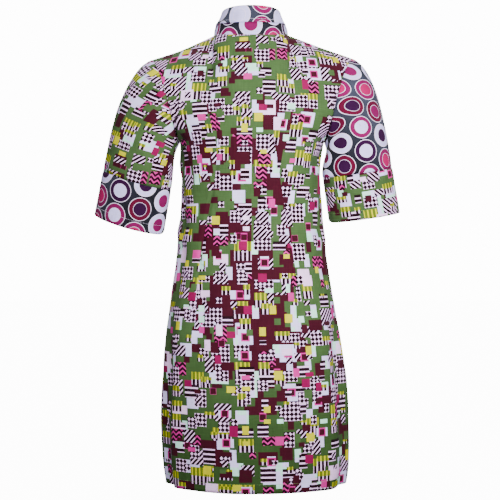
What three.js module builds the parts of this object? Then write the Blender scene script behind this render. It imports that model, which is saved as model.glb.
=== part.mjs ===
// Knee-length shirt dress in printed cotton, hollow, in the shape it has when it is worn.
// Millimetres, +Z up. The front faces -Y and the wearer's left is +X. The origin is the middle
// of the neck opening, level with the inner ends of the shoulder seams.
import * as THREE from "three";

// Cloth
const clothWall = 1.2;
const collarWall = 1.5;
const seamGap = 0.3;
const armholeGap = 0.5;

// Heights and widths of the body
const hemZ = -866;
const armpitZ = -212;
const neckHalf = 72;
const neckBack = 66;
const neckFront = 62;
const neckDropBack = 12;
const neckDropFront = 68;
const shoulderHalf = 195;
const shoulders = {
  left: { slope: 0.385, sag: 4 },
  right: { slope: 0.362, sag: 0.5 },
};
const neckSway = 2; // how far the neck sits towards the left shoulder
const roundness = 0.89; // power on sine and cosine: below 1, a ring is fuller than an ellipse

// Front opening, right over left
const overlapHalf = 14;
const underlapEase = 18; // width over which the left front dips under the right one
const bandWall = 1;
const bandLift = 0.3;

// Grids
const lowRows = 22;
const upRows = 10;
const backColumns = 12; // each side of the middle; the last eight end on the shoulder seam
const frontNeckColumns = 3; // edge of the band to the seam line of the neck corner
const shoulderColumns = 8;
const sleeveRows = 9;
const cuffRows = 3;
const neckShare = 1 / 3; // share of a half panel's columns that end on the neckline
const dartColumn = 4;

// Rings of the body from the hem to the armpit: depths are from the side seams to the middle
const rings = [
  { z: -866, half: 174, back: 130, front: 126, sway: -8 },
  { z: -829, half: 179, back: 132, front: 128, sway: -8 },
  { z: -751, half: 181, back: 133, front: 128, sway: -6 },
  { z: -673, half: 178, back: 131, front: 125, sway: -5 },
  { z: -595, half: 171, back: 125, front: 121, sway: -2 },
  { z: -517, half: 159, back: 114, front: 116, sway: 0 },
  { z: -439, half: 147, back: 101, front: 112, sway: 1 },
  { z: -380, half: 142, back: 94, front: 111, sway: 1 },
  { z: -322, half: 137, back: 92, front: 117, sway: 1 },
  { z: -270, half: 137, back: 97, front: 123, sway: 1 },
  { z: -212, half: 141, back: 104, front: 117, sway: 0 },
];

// Soft folds below the armpit. at is the place across the panel, from -1 at one side seam to 1
// at the other, and drift is how far it moves by its foot. Ridges are positive and troughs negative.
const folds = [
  { side: 1, at: 0.8, drift: -0.12, top: -250, foot: -560, wide: 0.08, deep: -4 },
  { side: 1, at: 0.74, drift: 0.02, top: -560, foot: -866, wide: 0.075, deep: -7 },
  { side: 1, at: 0.88, drift: 0, top: -600, foot: -866, wide: 0.07, deep: 5 },
  { side: 1, at: 0.6, drift: 0.02, top: -600, foot: -866, wide: 0.09, deep: 4 },
  { side: 1, at: -0.78, drift: 0.1, top: -240, foot: -540, wide: 0.08, deep: -4 },
  { side: 1, at: -0.72, drift: -0.03, top: -520, foot: -866, wide: 0.08, deep: -7 },
  { side: 1, at: -0.86, drift: 0, top: -560, foot: -866, wide: 0.07, deep: 4 },
  { side: 1, at: -0.54, drift: 0, top: -620, foot: -866, wide: 0.1, deep: 4 },
  { side: 1, at: 0.05, drift: 0.04, top: -640, foot: -866, wide: 0.16, deep: 3 },
  { side: -1, at: 0.62, drift: 0.04, top: -330, foot: -866, wide: 0.09, deep: -6 },
  { side: -1, at: 0.8, drift: 0, top: -480, foot: -866, wide: 0.08, deep: 5 },
  { side: -1, at: 0.36, drift: 0.04, top: -520, foot: -866, wide: 0.1, deep: 4 },
  { side: -1, at: -0.58, drift: -0.06, top: -340, foot: -866, wide: 0.09, deep: -6 },
  { side: -1, at: -0.78, drift: -0.02, top: -500, foot: -866, wide: 0.08, deep: 5 },
  { side: -1, at: -0.34, drift: -0.02, top: -560, foot: -866, wide: 0.1, deep: 3 },
];

// Back darts: the place of each seam across the panel, and how deep its groove is
const darts = [
  { z: -866, left: 0.4, right: 0.35, groove: 0 },
  { z: -600, left: 0.42, right: 0.345, groove: 0 },
  { z: -530, left: 0.43, right: 0.34, groove: 0.3 },
  { z: -448, left: 0.44, right: 0.345, groove: 1.2 },
  { z: -398, left: 0.41, right: 0.31, groove: 1.6 },
  { z: -335, left: 0.36, right: 0.27, groove: 1.6 },
  { z: -273, left: 0.3, right: 0.22, groove: 1.2 },
  { z: -212, left: 0.28, right: 0.16, groove: 0.7 },
];
const dartTopShare = 0.3; // share of the upper rows by which the groove has run out

// Upper panels, from the armpit level to the neckline and shoulder seam. Each column is a curve:
// up is the handle at its foot and off the handle at its top, for places from 0, the middle,
// to 1, the armhole. x is away from the middle, and y away from the side seams' plane.
const backYoke = [
  { s: 0, upX: 0, upY: 6, upZ: 74, offX: 0, offY: 22, offZ: -46 },
  { s: 0.33, upX: 1, upY: 12, upZ: 72, offX: 1, offY: 50, offZ: -15 },
  { s: 0.66, upX: 4, upY: 34, upZ: 62, offX: -1, offY: 60, offZ: -19 },
  { s: 0.86, upX: 6, upY: 60, upZ: 38, offX: -12, offY: 66, offZ: -30 },
  { s: 1, upX: 6, upY: 78, upZ: 12, offX: -30, offY: 80, offZ: -40 },
];
const frontYoke = [
  { s: 0, upX: 0, upY: 2, upZ: 54, offX: 0, offY: 24, offZ: -36 },
  { s: 0.33, upX: 0, upY: 5, upZ: 66, offX: 1, offY: 46, offZ: -20 },
  { s: 0.66, upX: 3, upY: 24, upZ: 60, offX: -3, offY: 56, offZ: -22 },
  { s: 0.86, upX: 3, upY: 56, upZ: 36, offX: -20, offY: 66, offZ: -32 },
  { s: 1, upX: 2, upY: 80, upZ: 12, offX: -42, offY: 80, offZ: -40 },
];

// Sleeves. hemOuter and hemInner are the ends of the hem, [out, up], as seen from behind. axis
// runs down the arm and leans forward by lean degrees, and hemForward is how far the hem has
// come. under and tip are the handles by which the sleeve leaves the armhole.
const cuffHeight = 88;
const cuffTaper = 0.975;
const sleeves = [
  {
    name: "left",
    sign: 1,
    hemOuter: [310, -347],
    hemInner: [173.5, -386],
    hemDepth: 60,
    hemForward: -22,
    lean: 10.5,
    axis: [0.2, -0.98],
    under: [16, -22],
    tip: [53, -25],
  },
  {
    name: "right",
    sign: -1,
    hemOuter: [290, -345],
    hemInner: [151, -365],
    hemDepth: 60,
    hemForward: -14,
    lean: 5,
    axis: [0.165, -0.986],
    under: [12, -20],
    tip: [48, -24],
  },
];
const sleeveReach = { under: 34, tip: 112 }; // handles at the top of the cuff
// Creases of a sleeve: around is the turn from the armpit over the back, in half turns
const sleeveFolds = [
  { around: 0.32, run: 0.3, wide: 0.09, deep: -4 },
  { around: 0.5, run: 0.35, wide: 0.1, deep: 4 },
  { around: 0.72, run: 0.22, wide: 0.1, deep: -3 },
  { around: 1.64, run: 0.3, wide: 0.1, deep: -4 },
  { around: 1.4, run: 0.4, wide: 0.12, deep: 3 },
];

// Collar
const foldHalf = 54;
const foldBack = 61;
const foldFront = 64;
const foldTop = 40;
const foldFrontZ = -36;
const foldSink = 4; // power: how late the fold line drops towards the front
const standBulge = 2;
const standRows = 3;
const rollRadius = 2.5;
const rollLift = 2.5; // height over the stand at which the roll turns
const leafGap = 0.8;
// The leaf's lower edge, by degrees round from the middle of the back: out from the fold line,
// and height. The last row is the collar's point.
const leafEdge = [
  { turn: 0, out: 7.5, z: 12 },
  { turn: 45, out: 10, z: 14 },
  { turn: 75, out: 12.5, z: 19 },
  { turn: 95, out: 16, z: 18 },
  { turn: 112, out: 25, z: 4 },
  { turn: 130, out: 33, z: -24 },
  { turn: 148, out: 37, z: -66 },
];
const leafFoldEnd = 170;
const leafColumns = 28;
const leafFallRows = 4;

// Buttons
const buttonRadius = 5.75;
const buttonThick = 2.2;
const buttonBevel = 0.5;
const holeRadius = 0.8;
const holeSpread = 1.6;
const buttonTop = -96;
const buttonPitch = 92;
const buttonCount = 8;

const colours = {
  block: 0x62883f,
  disc: 0x4a5266,
  button: 0x46182a,
};
const blockCloth = new THREE.MeshStandardMaterial({ color: colours.block, roughness: 0.85 });
const discCloth = new THREE.MeshStandardMaterial({ color: colours.disc, roughness: 0.85 });
const buttonShell = new THREE.MeshStandardMaterial({ color: colours.button, roughness: 0.3 });

const shirt = new THREE.Group();
const { clamp, lerp, smoothstep, degToRad } = THREE.MathUtils;

// Value of one column of a table at a place between its rows, on a smooth curve through them
function along(table, by, at, column) {
  const last = table.length - 1;
  let i = 0;
  while (i < last - 1 && at > table[i + 1][by]) i++;
  const span = table[i + 1][by] - table[i][by];
  const slope = (j) => {
    const before = table[Math.max(j - 1, 0)];
    const after = table[Math.min(j + 1, last)];
    return (after[column] - before[column]) / (after[by] - before[by]);
  };
  const u = clamp((at - table[i][by]) / span, 0, 1);
  const ease = u * u * (3 - 2 * u);
  return (
    (1 - ease) * table[i][column] +
    ease * table[i + 1][column] +
    span * u * (1 - u) * ((1 - u) * slope(i) - u * slope(i + 1))
  );
}

function bezier(a, b, c, d, t) {
  const r = 1 - t;
  return new THREE.Vector3()
    .addScaledVector(a, r * r * r)
    .addScaledVector(b, 3 * r * r * t)
    .addScaledVector(c, 3 * r * t * t)
    .addScaledVector(d, t * t * t);
}

// A table's first row is the middle of a panel: the row before it mirrors the one after it
const mirrored = (rows) => [{ ...rows[1], s: -rows[1].s }, ...rows];
const yokes = { back: mirrored(backYoke), front: mirrored(frontYoke) };

// How far the folds lift the cloth at a place. They run out before the side seams.
function foldLift(side, s, z) {
  let lift = 0;
  for (const fold of folds) {
    if (fold.side !== side) continue;
    const run = clamp((fold.top - z) / (fold.top - fold.foot), 0, 1);
    const ending = fold.foot > hemZ ? 1 - smoothstep(run, 0.6, 1) : 1;
    const off = (s - fold.at - fold.drift * run) / fold.wide;
    lift += fold.deep * Math.exp(-off * off) * smoothstep(run, 0, 0.4) * ending;
  }
  return lift * (1 - s ** 8);
}

// Point of a ring: side is 1 for the back and -1 for the front, s runs from -1 to 1 across
function ringPoint(side, s, z) {
  const turn = (s * Math.PI) / 2;
  const lift = foldLift(side, s, z);
  const full = (v) => Math.sign(v) * Math.abs(v) ** roundness;
  const half = along(rings, "z", z, "half") + lift;
  const deep = along(rings, "z", z, side > 0 ? "back" : "front") + lift;
  const sway = along(rings, "z", z, "sway");
  return new THREE.Vector3(
    sway + half * full(Math.sin(turn)),
    side * deep * full(Math.max(Math.cos(turn), 0)),
    z,
  );
}

// Neckline: turn is 0 at the middle of the back and half a turn at the middle of the front
function neckPoint(turn) {
  const c = Math.cos(turn);
  const x = neckSway + neckHalf * Math.sin(turn);
  return c > 0
    ? new THREE.Vector3(x, neckBack * c, -neckDropBack * c * c)
    : new THREE.Vector3(x, neckFront * c, -neckDropFront * (-c) ** 1.5);
}

// Top edge of a panel: the neckline, then the shoulder seam out to the armhole
function topPoint(side, s) {
  const share = Math.abs(s);
  if (share < neckShare) {
    const turn = ((s / neckShare) * Math.PI) / 2;
    return neckPoint(side > 0 ? turn : Math.PI - turn);
  }
  const sign = Math.sign(s);
  const { slope, sag } = shoulders[sign > 0 ? "left" : "right"];
  const run = (share - neckShare) / (1 - neckShare);
  const drop = slope * (shoulderHalf - neckHalf) * run + sag * Math.sin(Math.PI * run);
  return new THREE.Vector3(lerp(neckSway + sign * neckHalf, sign * shoulderHalf, run), 0, -drop);
}

// Point of a panel in a row of the grid: low rows are rings, and upper rows climb the columns
function bodyPoint(side, s, row) {
  if (row <= lowRows) return ringPoint(side, s, lerp(hemZ, armpitZ, row / lowRows));
  const yoke = side > 0 ? yokes.back : yokes.front;
  const handle = (kind) =>
    new THREE.Vector3(
      Math.sign(s) * along(yoke, "s", Math.abs(s), kind + "X"),
      side * along(yoke, "s", Math.abs(s), kind + "Y"),
      along(yoke, "s", Math.abs(s), kind + "Z"),
    );
  const foot = ringPoint(side, s, armpitZ);
  const top = topPoint(side, s);
  const t = (row - lowRows) / upRows;
  return bezier(foot, foot.clone().add(handle("up")), top.clone().add(handle("off")), top, t);
}

// Place across the front whose point in a row is x away from the middle
function placeAt(x, row) {
  let [low, high] = [-0.5, 0.5];
  for (let i = 0; i < 30; i++) {
    const middle = (low + high) / 2;
    if (bodyPoint(-1, middle, row).x < x) low = middle;
    else high = middle;
  }
  return (low + high) / 2;
}

// Place of a back column: the columns either side of a dart close up to its seam
function backPlace(column, row) {
  const z = lerp(hemZ, armpitZ, Math.min(row, lowRows) / lowRows);
  const atDart = along(darts, "z", z, column > 0 ? "left" : "right");
  const rise = clamp((row - lowRows) / upRows, 0, 1);
  const seam = lerp(atDart, neckShare, rise);
  const steps = Math.abs(column);
  const share =
    steps <= dartColumn
      ? (seam * steps) / dartColumn
      : seam + ((1 - seam) * (steps - dartColumn)) / (backColumns - dartColumn);
  return Math.sign(column) * share;
}

function dartGroove(column, row) {
  if (Math.abs(column) !== dartColumn) return 0;
  const z = lerp(hemZ, armpitZ, Math.min(row, lowRows) / lowRows);
  const rise = clamp((row - lowRows) / upRows, 0, 1);
  return along(darts, "z", z, "groove") * (1 - smoothstep(rise, 0, dartTopShare));
}

// Grids of points. flip turns the faces so that they look out of the garment.
const bodyRows = [...Array(lowRows + upRows + 1).keys()];

function backGrid() {
  const columns = [...Array(2 * backColumns + 1).keys()].map((i) => i - backColumns);
  const rows = bodyRows.map((row) => columns.map((c) => bodyPoint(1, backPlace(c, row), row)));
  const dips = bodyRows.map((row) => columns.map((c) => dartGroove(c, row)));
  return { rows, dips, flip: true, part: "body" };
}

// sign is 1 for the left front, whose edge lies under the right one's
function frontGrid(sign) {
  const rows = bodyRows.map((row) => {
    const inner = placeAt(sign * overlapHalf, row);
    const rise = clamp((row - lowRows) / upRows, 0, 1);
    const even = lerp(inner, sign, frontNeckColumns / (frontNeckColumns + shoulderColumns));
    const corner = lerp(even, sign * neckShare, rise);
    const steps = [...Array(frontNeckColumns + shoulderColumns + 1).keys()];
    const out = steps.map((i) =>
      i <= frontNeckColumns
        ? lerp(inner, corner, i / frontNeckColumns)
        : lerp(corner, sign, (i - frontNeckColumns) / shoulderColumns),
    );
    const places = [placeAt(-sign * overlapHalf, row), placeAt(0, row), ...out];
    return places.map((s) => bodyPoint(-1, s, row));
  });
  if (sign < 0) rows.forEach((row) => row.reverse());
  const under = (p) => 1 - smoothstep(p.x, overlapHalf, overlapHalf + underlapEase);
  const tuck = clothWall + seamGap;
  const dips = rows.map((row) => row.map((p) => (sign > 0 ? tuck * under(p) : 0)));
  return { rows, dips, flip: false, part: "body" };
}

// The armhole's loop: from the armpit up the back to the shoulder, and down the front
function armholeLoop(sign) {
  const climb = bodyRows.slice(lowRows);
  const back = climb.map((row) => bodyPoint(1, sign, row));
  const front = climb.map((row) => bodyPoint(-1, sign, row)).slice(1, -1);
  return [...back, ...front.reverse()];
}

function sleevePoint(sleeve, foot, around, t) {
  const turn = around * Math.PI;
  const tipward = (1 - Math.cos(turn)) / 2;
  const [outer, inner] = [sleeve.hemOuter, sleeve.hemInner];
  const lean = degToRad(sleeve.lean);
  const axis = new THREE.Vector3(sleeve.sign * sleeve.axis[0], -Math.sin(lean), sleeve.axis[1]);
  const hemSpot = (taper) => {
    const reach = 0.5 - 0.5 * taper * Math.cos(turn);
    return new THREE.Vector3(
      sleeve.sign * lerp(inner[0], outer[0], reach),
      sleeve.hemForward + sleeve.hemDepth * taper * Math.sin(turn) * Math.cos(lean),
      lerp(inner[1], outer[1], reach) - sleeve.hemDepth * taper * Math.sin(turn) * Math.sin(lean),
    );
  };
  const top = hemSpot(cuffTaper).addScaledVector(axis, -cuffHeight);
  if (t > 1) return top.lerp(hemSpot(1), t - 1);
  const leave = new THREE.Vector3(
    sleeve.sign * lerp(sleeve.under[0], sleeve.tip[0], tipward),
    10 * Math.sin(turn),
    lerp(sleeve.under[1], sleeve.tip[1], tipward),
  );
  const reach = lerp(sleeveReach.under, sleeveReach.tip, tipward);
  const point = bezier(foot, foot.clone().add(leave), top.clone().addScaledVector(axis, -reach), top, t);
  const lift = sleeveFolds.reduce((sum, fold) => {
    const off = (around - fold.around) / fold.wide;
    const swell = smoothstep(t, 0, fold.run) * (1 - smoothstep(t, fold.run, 1));
    return sum + fold.deep * Math.exp(-off * off) * swell;
  }, 0);
  const away = new THREE.Vector3(-sleeve.sign * Math.cos(turn), Math.sin(turn), 0);
  return point.addScaledVector(away, lift);
}

function sleeveGrid(sleeve) {
  const loop = armholeLoop(sleeve.sign);
  const steps = [...Array(sleeveRows + cuffRows + 1).keys()];
  const rows = steps.map((row) => {
    const t = row <= sleeveRows ? row / sleeveRows : 1 + (row - sleeveRows) / cuffRows;
    return loop.map((foot, k) => sleevePoint(sleeve, foot, k / upRows, t));
  });
  return { rows, flip: sleeve.sign < 0, closed: true, part: "sleeves" };
}

// Normals are summed over every grid that has a point at the same place, so that pieces that
// meet at a seam are mitred there. The body and the sleeves are summed apart.
const meeting = { body: new Map(), sleeves: new Map() };
const spotKey = (p) => p.toArray().map((v) => Math.round(v * 40 + 0.13)).join(" ");

function eachCell(grid, visit) {
  const { rows, closed } = grid;
  const across = closed ? rows[0].length : rows[0].length - 1;
  for (let r = 0; r < rows.length - 1; r++) {
    for (let c = 0; c < across; c++) {
      const next = (c + 1) % rows[0].length;
      visit([r, c], [r, next], [r + 1, next], [r + 1, c]);
    }
  }
}

function gatherNormals(grid) {
  const sums = meeting[grid.part];
  eachCell(grid, (...corners) => {
    const [a, b, c, d] = corners.map(([r, k]) => grid.rows[r][k]);
    const normal = c.clone().sub(a).cross(d.clone().sub(b));
    normal.normalize().multiplyScalar(grid.flip ? -1 : 1);
    for (const p of [a, b, c, d]) {
      const key = spotKey(p);
      if (!sums.has(key)) sums.set(key, new THREE.Vector3());
      sums.get(key).add(normal);
    }
  });
}

// At an armhole the two normals are blended where the cloth runs on, as on the shoulder, and
// kept apart where it turns back on itself, as under the arm
function normalAt(p, part) {
  const own = meeting[part].get(spotKey(p)).clone().normalize();
  const other = meeting[part === "body" ? "sleeves" : "body"].get(spotKey(p));
  if (!other) return own;
  const beside = other.clone().normalize();
  return own.addScaledVector(beside, smoothstep(own.dot(beside), -0.1, 0.5)).normalize();
}

// A wall between two sheets of points, closed round its edges
function wallGeometry(grid, outer, inner) {
  const { closed, flip } = grid;
  const count = outer[0].length;
  const last = outer.length - 1;
  const spots = [];
  const face = (a, b, c, d) => {
    const loop = flip ? [a, d, c, b] : [a, b, c, d];
    spots.push(loop[0], loop[1], loop[2], loop[0], loop[2], loop[3]);
  };
  eachCell(grid, (a, b, c, d) => {
    const [oa, ob, oc, od] = [a, b, c, d].map(([r, k]) => outer[r][k]);
    const [ia, ib, ic, id] = [a, b, c, d].map(([r, k]) => inner[r][k]);
    face(oa, ob, oc, od);
    face(ia, id, ic, ib);
  });
  const across = closed ? count : count - 1;
  for (let k = 0; k < across; k++) {
    const next = (k + 1) % count;
    face(outer[0][next], outer[0][k], inner[0][k], inner[0][next]);
    face(outer[last][k], outer[last][next], inner[last][next], inner[last][k]);
  }
  for (let r = 0; r < last && !closed; r++) {
    face(outer[r][0], outer[r + 1][0], inner[r + 1][0], inner[r][0]);
    face(outer[r + 1][count - 1], outer[r][count - 1], inner[r][count - 1], inner[r + 1][count - 1]);
  }
  return new THREE.BufferGeometry().setFromPoints(spots);
}

// Pulls the edge points of a sheet back from a seam. trims gives the gap at each edge.
function trimmed(sheet, trims) {
  const copy = sheet.map((row) => row.map((p) => p.clone()));
  const pull = (p, towards, gap) => p.addScaledVector(towards.clone().sub(p).normalize(), gap / 2);
  const last = sheet.length - 1;
  const end = sheet[0].length - 1;
  sheet.forEach((row, r) => {
    if (trims.first) pull(copy[r][0], row[1], trims.first(r));
    if (trims.end) pull(copy[r][end], row[end - 1], trims.end(r));
  });
  sheet[0].forEach((p, k) => {
    if (trims.foot) pull(copy[0][k], sheet[1][k], trims.foot);
    if (trims.top) pull(copy[last][k], sheet[last - 1][k], trims.top);
  });
  return copy;
}

function addPiece(name, geometry, material) {
  const mesh = new THREE.Mesh(geometry, material);
  mesh.name = name;
  shirt.add(mesh);
  return mesh;
}

function addCloth(name, grid, material, trims, shift = 0) {
  const dip = (r, k) => (grid.dips ? grid.dips[r][k] : 0);
  const lay = (depth) =>
    grid.rows.map((row, r) =>
      row.map((p, k) => p.clone().addScaledVector(normalAt(p, grid.part), -depth - dip(r, k))),
    );
  const sheets = [trimmed(lay(0), trims), trimmed(lay(clothWall), trims)];
  sheets.forEach((sheet) => sheet[0].forEach((p) => (p.x += shift)));
  addPiece(name, wallGeometry(grid, ...sheets), material);
}

// A band made from the right front's own points at its edge, moved out
function addFrontBand(grid) {
  const sheet = (lift) =>
    grid.rows.map((row) =>
      row.slice(-3).map((p) => p.clone().addScaledVector(normalAt(p, "body"), lift)),
    );
  const trims = { foot: seamGap * 2, top: seamGap * 6 };
  const outer = trimmed(sheet(bandLift + bandWall), trims);
  const inner = trimmed(sheet(bandLift), trims);
  addPiece("front_band", wallGeometry({ rows: outer, flip: false }, outer, inner), blockCloth);
  return outer.map((row) => row[1]);
}

// Collar
function foldPoint(turn) {
  const c = Math.cos(turn);
  const sink = ((1 - c) / 2) ** foldSink;
  const depth = c > 0 ? foldBack : foldFront;
  const x = neckSway + foldHalf * Math.sin(turn);
  return new THREE.Vector3(x, depth * c, lerp(foldTop, foldFrontZ, sink));
}

// Turns round the neck at which the panels have a column, from the band's one edge to its other
function neckTurns() {
  const top = lowRows + upRows;
  const turnOf = (s) => Math.PI - ((s / neckShare) * Math.PI) / 2;
  const edge = placeAt(overlapHalf, top);
  const steps = [...Array(frontNeckColumns).keys()];
  const front = steps.map((i) => turnOf(lerp(edge, neckShare, i / frontNeckColumns)));
  const backTurns = [...Array(2 * dartColumn + 1).keys()].map(
    (i) => ((i - dartColumn) / dartColumn) * (Math.PI / 2),
  );
  const half = [Math.PI, ...front];
  const lap = 2 * Math.PI - front[0];
  return [-lap, ...half.map((t) => -t), ...backTurns, ...half.slice().reverse(), lap];
}

// The stand's columns are the panels' neck columns, each interval halved, and its foot runs
// straight between them as the panels' edges do
function addStand() {
  const turns = neckTurns();
  const lap = collarWall + seamGap;
  const columns = [];
  turns.forEach((turn, i) => {
    columns.push({ turn, foot: neckPoint(turn) });
    if (i === turns.length - 1) return;
    const foot = neckPoint(turn).lerp(neckPoint(turns[i + 1]), 0.5);
    columns.push({ turn: (turn + turns[i + 1]) / 2, foot });
  });
  const away = columns.map(({ turn }) => new THREE.Vector3(Math.sin(turn), Math.cos(turn), 0));
  const sheet = (depth) =>
    [...Array(standRows + 1).keys()].map((r) =>
      columns.map(({ turn, foot }, k) => {
        const under = lap * smoothstep(turn, 0.88 * Math.PI, 0.96 * Math.PI);
        const rise = lerp(0.01, 1, r / standRows);
        const bulge = standBulge * Math.sin(Math.PI * rise);
        return foot.clone().lerp(foldPoint(turn), rise).addScaledVector(away[k], bulge - under - depth);
      }),
    );
  const [outer, inner] = [sheet(0), sheet(collarWall)];
  addPiece("collar_stand", wallGeometry({ rows: outer, flip: true }, outer, inner), discCloth);
}

// Section of the leaf: out from the fold line and up, from the stand over the roll to its edge
function leafSection(out, drop) {
  const middle = rollRadius - collarWall / 2;
  const roll = [...Array(5).keys()].map((i) => {
    const turn = Math.PI * (1 - i / 4);
    return [middle + rollRadius * Math.cos(turn), rollLift + rollRadius * Math.sin(turn)];
  });
  const fall = [...Array(leafFallRows).keys()].map((i) => {
    const run = (i + 1) / leafFallRows;
    return [lerp(roll[4][0], out, run), lerp(rollLift, -drop, run)];
  });
  return [[-collarWall / 2, leafGap], ...roll, ...fall];
}

function addLeaf() {
  const pointTurn = leafEdge[leafEdge.length - 1].turn;
  const steps = [...Array(6 + leafFallRows).keys()];
  const rows = steps.map((r) =>
    [...Array(leafColumns + 1).keys()].map((k) => {
      const share = (2 * k) / leafColumns - 1;
      const down = clamp((r - 5) / leafFallRows, 0, 1);
      const degrees = share * lerp(leafFoldEnd, pointTurn, down);
      const edgeTurn = Math.abs(share) * pointTurn;
      const p = foldPoint(degToRad(degrees));
      const drop = foldPoint(degToRad(edgeTurn)).z - along(leafEdge, "turn", edgeTurn, "z");
      const [out, up] = leafSection(along(leafEdge, "turn", edgeTurn, "out"), drop)[r];
      const away = new THREE.Vector3(Math.sin(degToRad(degrees)), Math.cos(degToRad(degrees)), 0);
      return p.addScaledVector(away, out).add(new THREE.Vector3(0, 0, up));
    }),
  );
  const grid = { rows, flip: false };
  const sums = rows.map((row) => row.map(() => new THREE.Vector3()));
  eachCell(grid, (...corners) => {
    const [a, b, c, d] = corners.map(([r, k]) => rows[r][k]);
    const normal = c.clone().sub(a).cross(d.clone().sub(b)).normalize();
    corners.forEach(([r, k]) => sums[r][k].add(normal));
  });
  const sheet = (lift) =>
    rows.map((row, r) =>
      row.map((p, k) => p.clone().addScaledVector(sums[r][k].clone().normalize(), lift)),
    );
  const [outer, inner] = [sheet(collarWall / 2), sheet(-collarWall / 2)];
  addPiece("collar_leaf", wallGeometry(grid, outer, inner), discCloth);
}

// Buttons
function buttonGeometry() {
  const outline = new THREE.Shape().absarc(0, 0, buttonRadius - buttonBevel, 0, 2 * Math.PI);
  for (const turn of [0.25, 0.75, 1.25, 1.75].map((part) => part * Math.PI)) {
    const spot = [holeSpread * Math.cos(turn), holeSpread * Math.sin(turn)];
    outline.holes.push(new THREE.Path().absarc(...spot, holeRadius, 0, 2 * Math.PI, true));
  }
  const depth = buttonThick;
  return new THREE.ExtrudeGeometry(outline, { depth, bevelEnabled: false, curveSegments: 8 });
}

function addButton(name, seat, normal) {
  const button = addPiece(name, buttonGeometry(), buttonShell);
  button.quaternion.setFromUnitVectors(new THREE.Vector3(0, 0, 1), normal);
  button.position.copy(seat).addScaledVector(normal, seamGap);
}

function addBandButtons(line) {
  for (let i = 0; i < buttonCount; i++) {
    const z = buttonTop - i * buttonPitch;
    const above = line.findIndex((p) => p.z > z);
    const [low, high] = [line[above - 1], line[above]];
    const seat = low.clone().lerp(high, (z - low.z) / (high.z - low.z));
    const rise = high.clone().sub(low).normalize();
    addButton("button_" + (i + 1), seat, new THREE.Vector3(1, 0, 0).cross(rise));
  }
}

function addStandButton() {
  const low = neckPoint(Math.PI);
  const high = foldPoint(Math.PI);
  const seat = low.clone().lerp(high, 0.5).add(new THREE.Vector3(0, -standBulge, 0));
  const normal = new THREE.Vector3(1, 0, 0).cross(high.clone().sub(low).normalize());
  addButton("button_stand", seat, normal);
}

// The whole garment
const back = backGrid();
const frontLeft = frontGrid(1);
const frontRight = frontGrid(-1);
const sleeveGrids = sleeves.map(sleeveGrid);
[back, frontLeft, frontRight, ...sleeveGrids].forEach(gatherNormals);

const edgeGap = (row) => (row > lowRows ? armholeGap : seamGap);
addCloth("back", back, blockCloth, { first: edgeGap, end: edgeGap, top: seamGap });
addCloth("front_left", frontLeft, blockCloth, { end: edgeGap, top: seamGap });
addCloth("front_right", frontRight, blockCloth, { first: edgeGap, top: seamGap });
sleeves.forEach((sleeve, i) => {
  const { rows, flip, closed } = sleeveGrids[i];
  const upper = { rows: rows.slice(0, sleeveRows + 1), flip, closed, part: "sleeves" };
  const cuff = { rows: rows.slice(sleeveRows), flip, closed, part: "sleeves" };
  const [upperCloth, cuffCloth] = sleeve.sign > 0 ? [blockCloth, discCloth] : [discCloth, blockCloth];
  const edges = { foot: armholeGap, top: seamGap };
  addCloth("sleeve_" + sleeve.name, upper, upperCloth, edges, sleeve.sign * armholeGap);
  addCloth("cuff_" + sleeve.name, cuff, cuffCloth, { foot: seamGap });
});
addBandButtons(addFrontBand(frontRight));
addStand();
addLeaf();
addStandButton();

export default shirt;
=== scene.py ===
import math
import bpy
import bmesh
from mathutils import Matrix, Vector, noise


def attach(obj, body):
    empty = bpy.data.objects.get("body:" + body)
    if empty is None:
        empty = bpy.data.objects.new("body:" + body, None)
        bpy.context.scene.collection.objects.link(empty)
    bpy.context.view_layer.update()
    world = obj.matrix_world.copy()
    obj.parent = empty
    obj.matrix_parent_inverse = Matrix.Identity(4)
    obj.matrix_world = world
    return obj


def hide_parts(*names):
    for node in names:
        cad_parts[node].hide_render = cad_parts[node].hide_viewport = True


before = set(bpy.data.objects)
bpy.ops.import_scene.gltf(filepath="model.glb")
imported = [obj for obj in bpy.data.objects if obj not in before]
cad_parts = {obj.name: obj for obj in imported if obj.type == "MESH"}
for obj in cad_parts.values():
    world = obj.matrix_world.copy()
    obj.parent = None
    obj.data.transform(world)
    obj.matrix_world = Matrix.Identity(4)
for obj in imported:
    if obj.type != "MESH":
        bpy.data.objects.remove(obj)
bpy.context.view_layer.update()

mm = 0.001
print("frame loaded")

# camera: level with the waist, straight behind, as the photograph was taken; turned in degrees
camera = {"place": (0.0039, 2.1, -0.419), "turn": (90, 0, 180), "lens": 77.5, "sensor": 36}
cameraData = bpy.data.cameras.new("camera")
cameraData.lens = camera["lens"]
cameraData.sensor_width = camera["sensor"]
cameraObject = bpy.data.objects.new("camera", cameraData)
cameraObject.location = camera["place"]
cameraObject.rotation_euler = [math.radians(angle) for angle in camera["turn"]]
bpy.context.collection.objects.link(cameraObject)
bpy.context.scene.camera = cameraObject


# each row of a table as a dictionary
def table(columns, *rows):
    return [dict(zip(columns.split(), row)) for row in rows]


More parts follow.
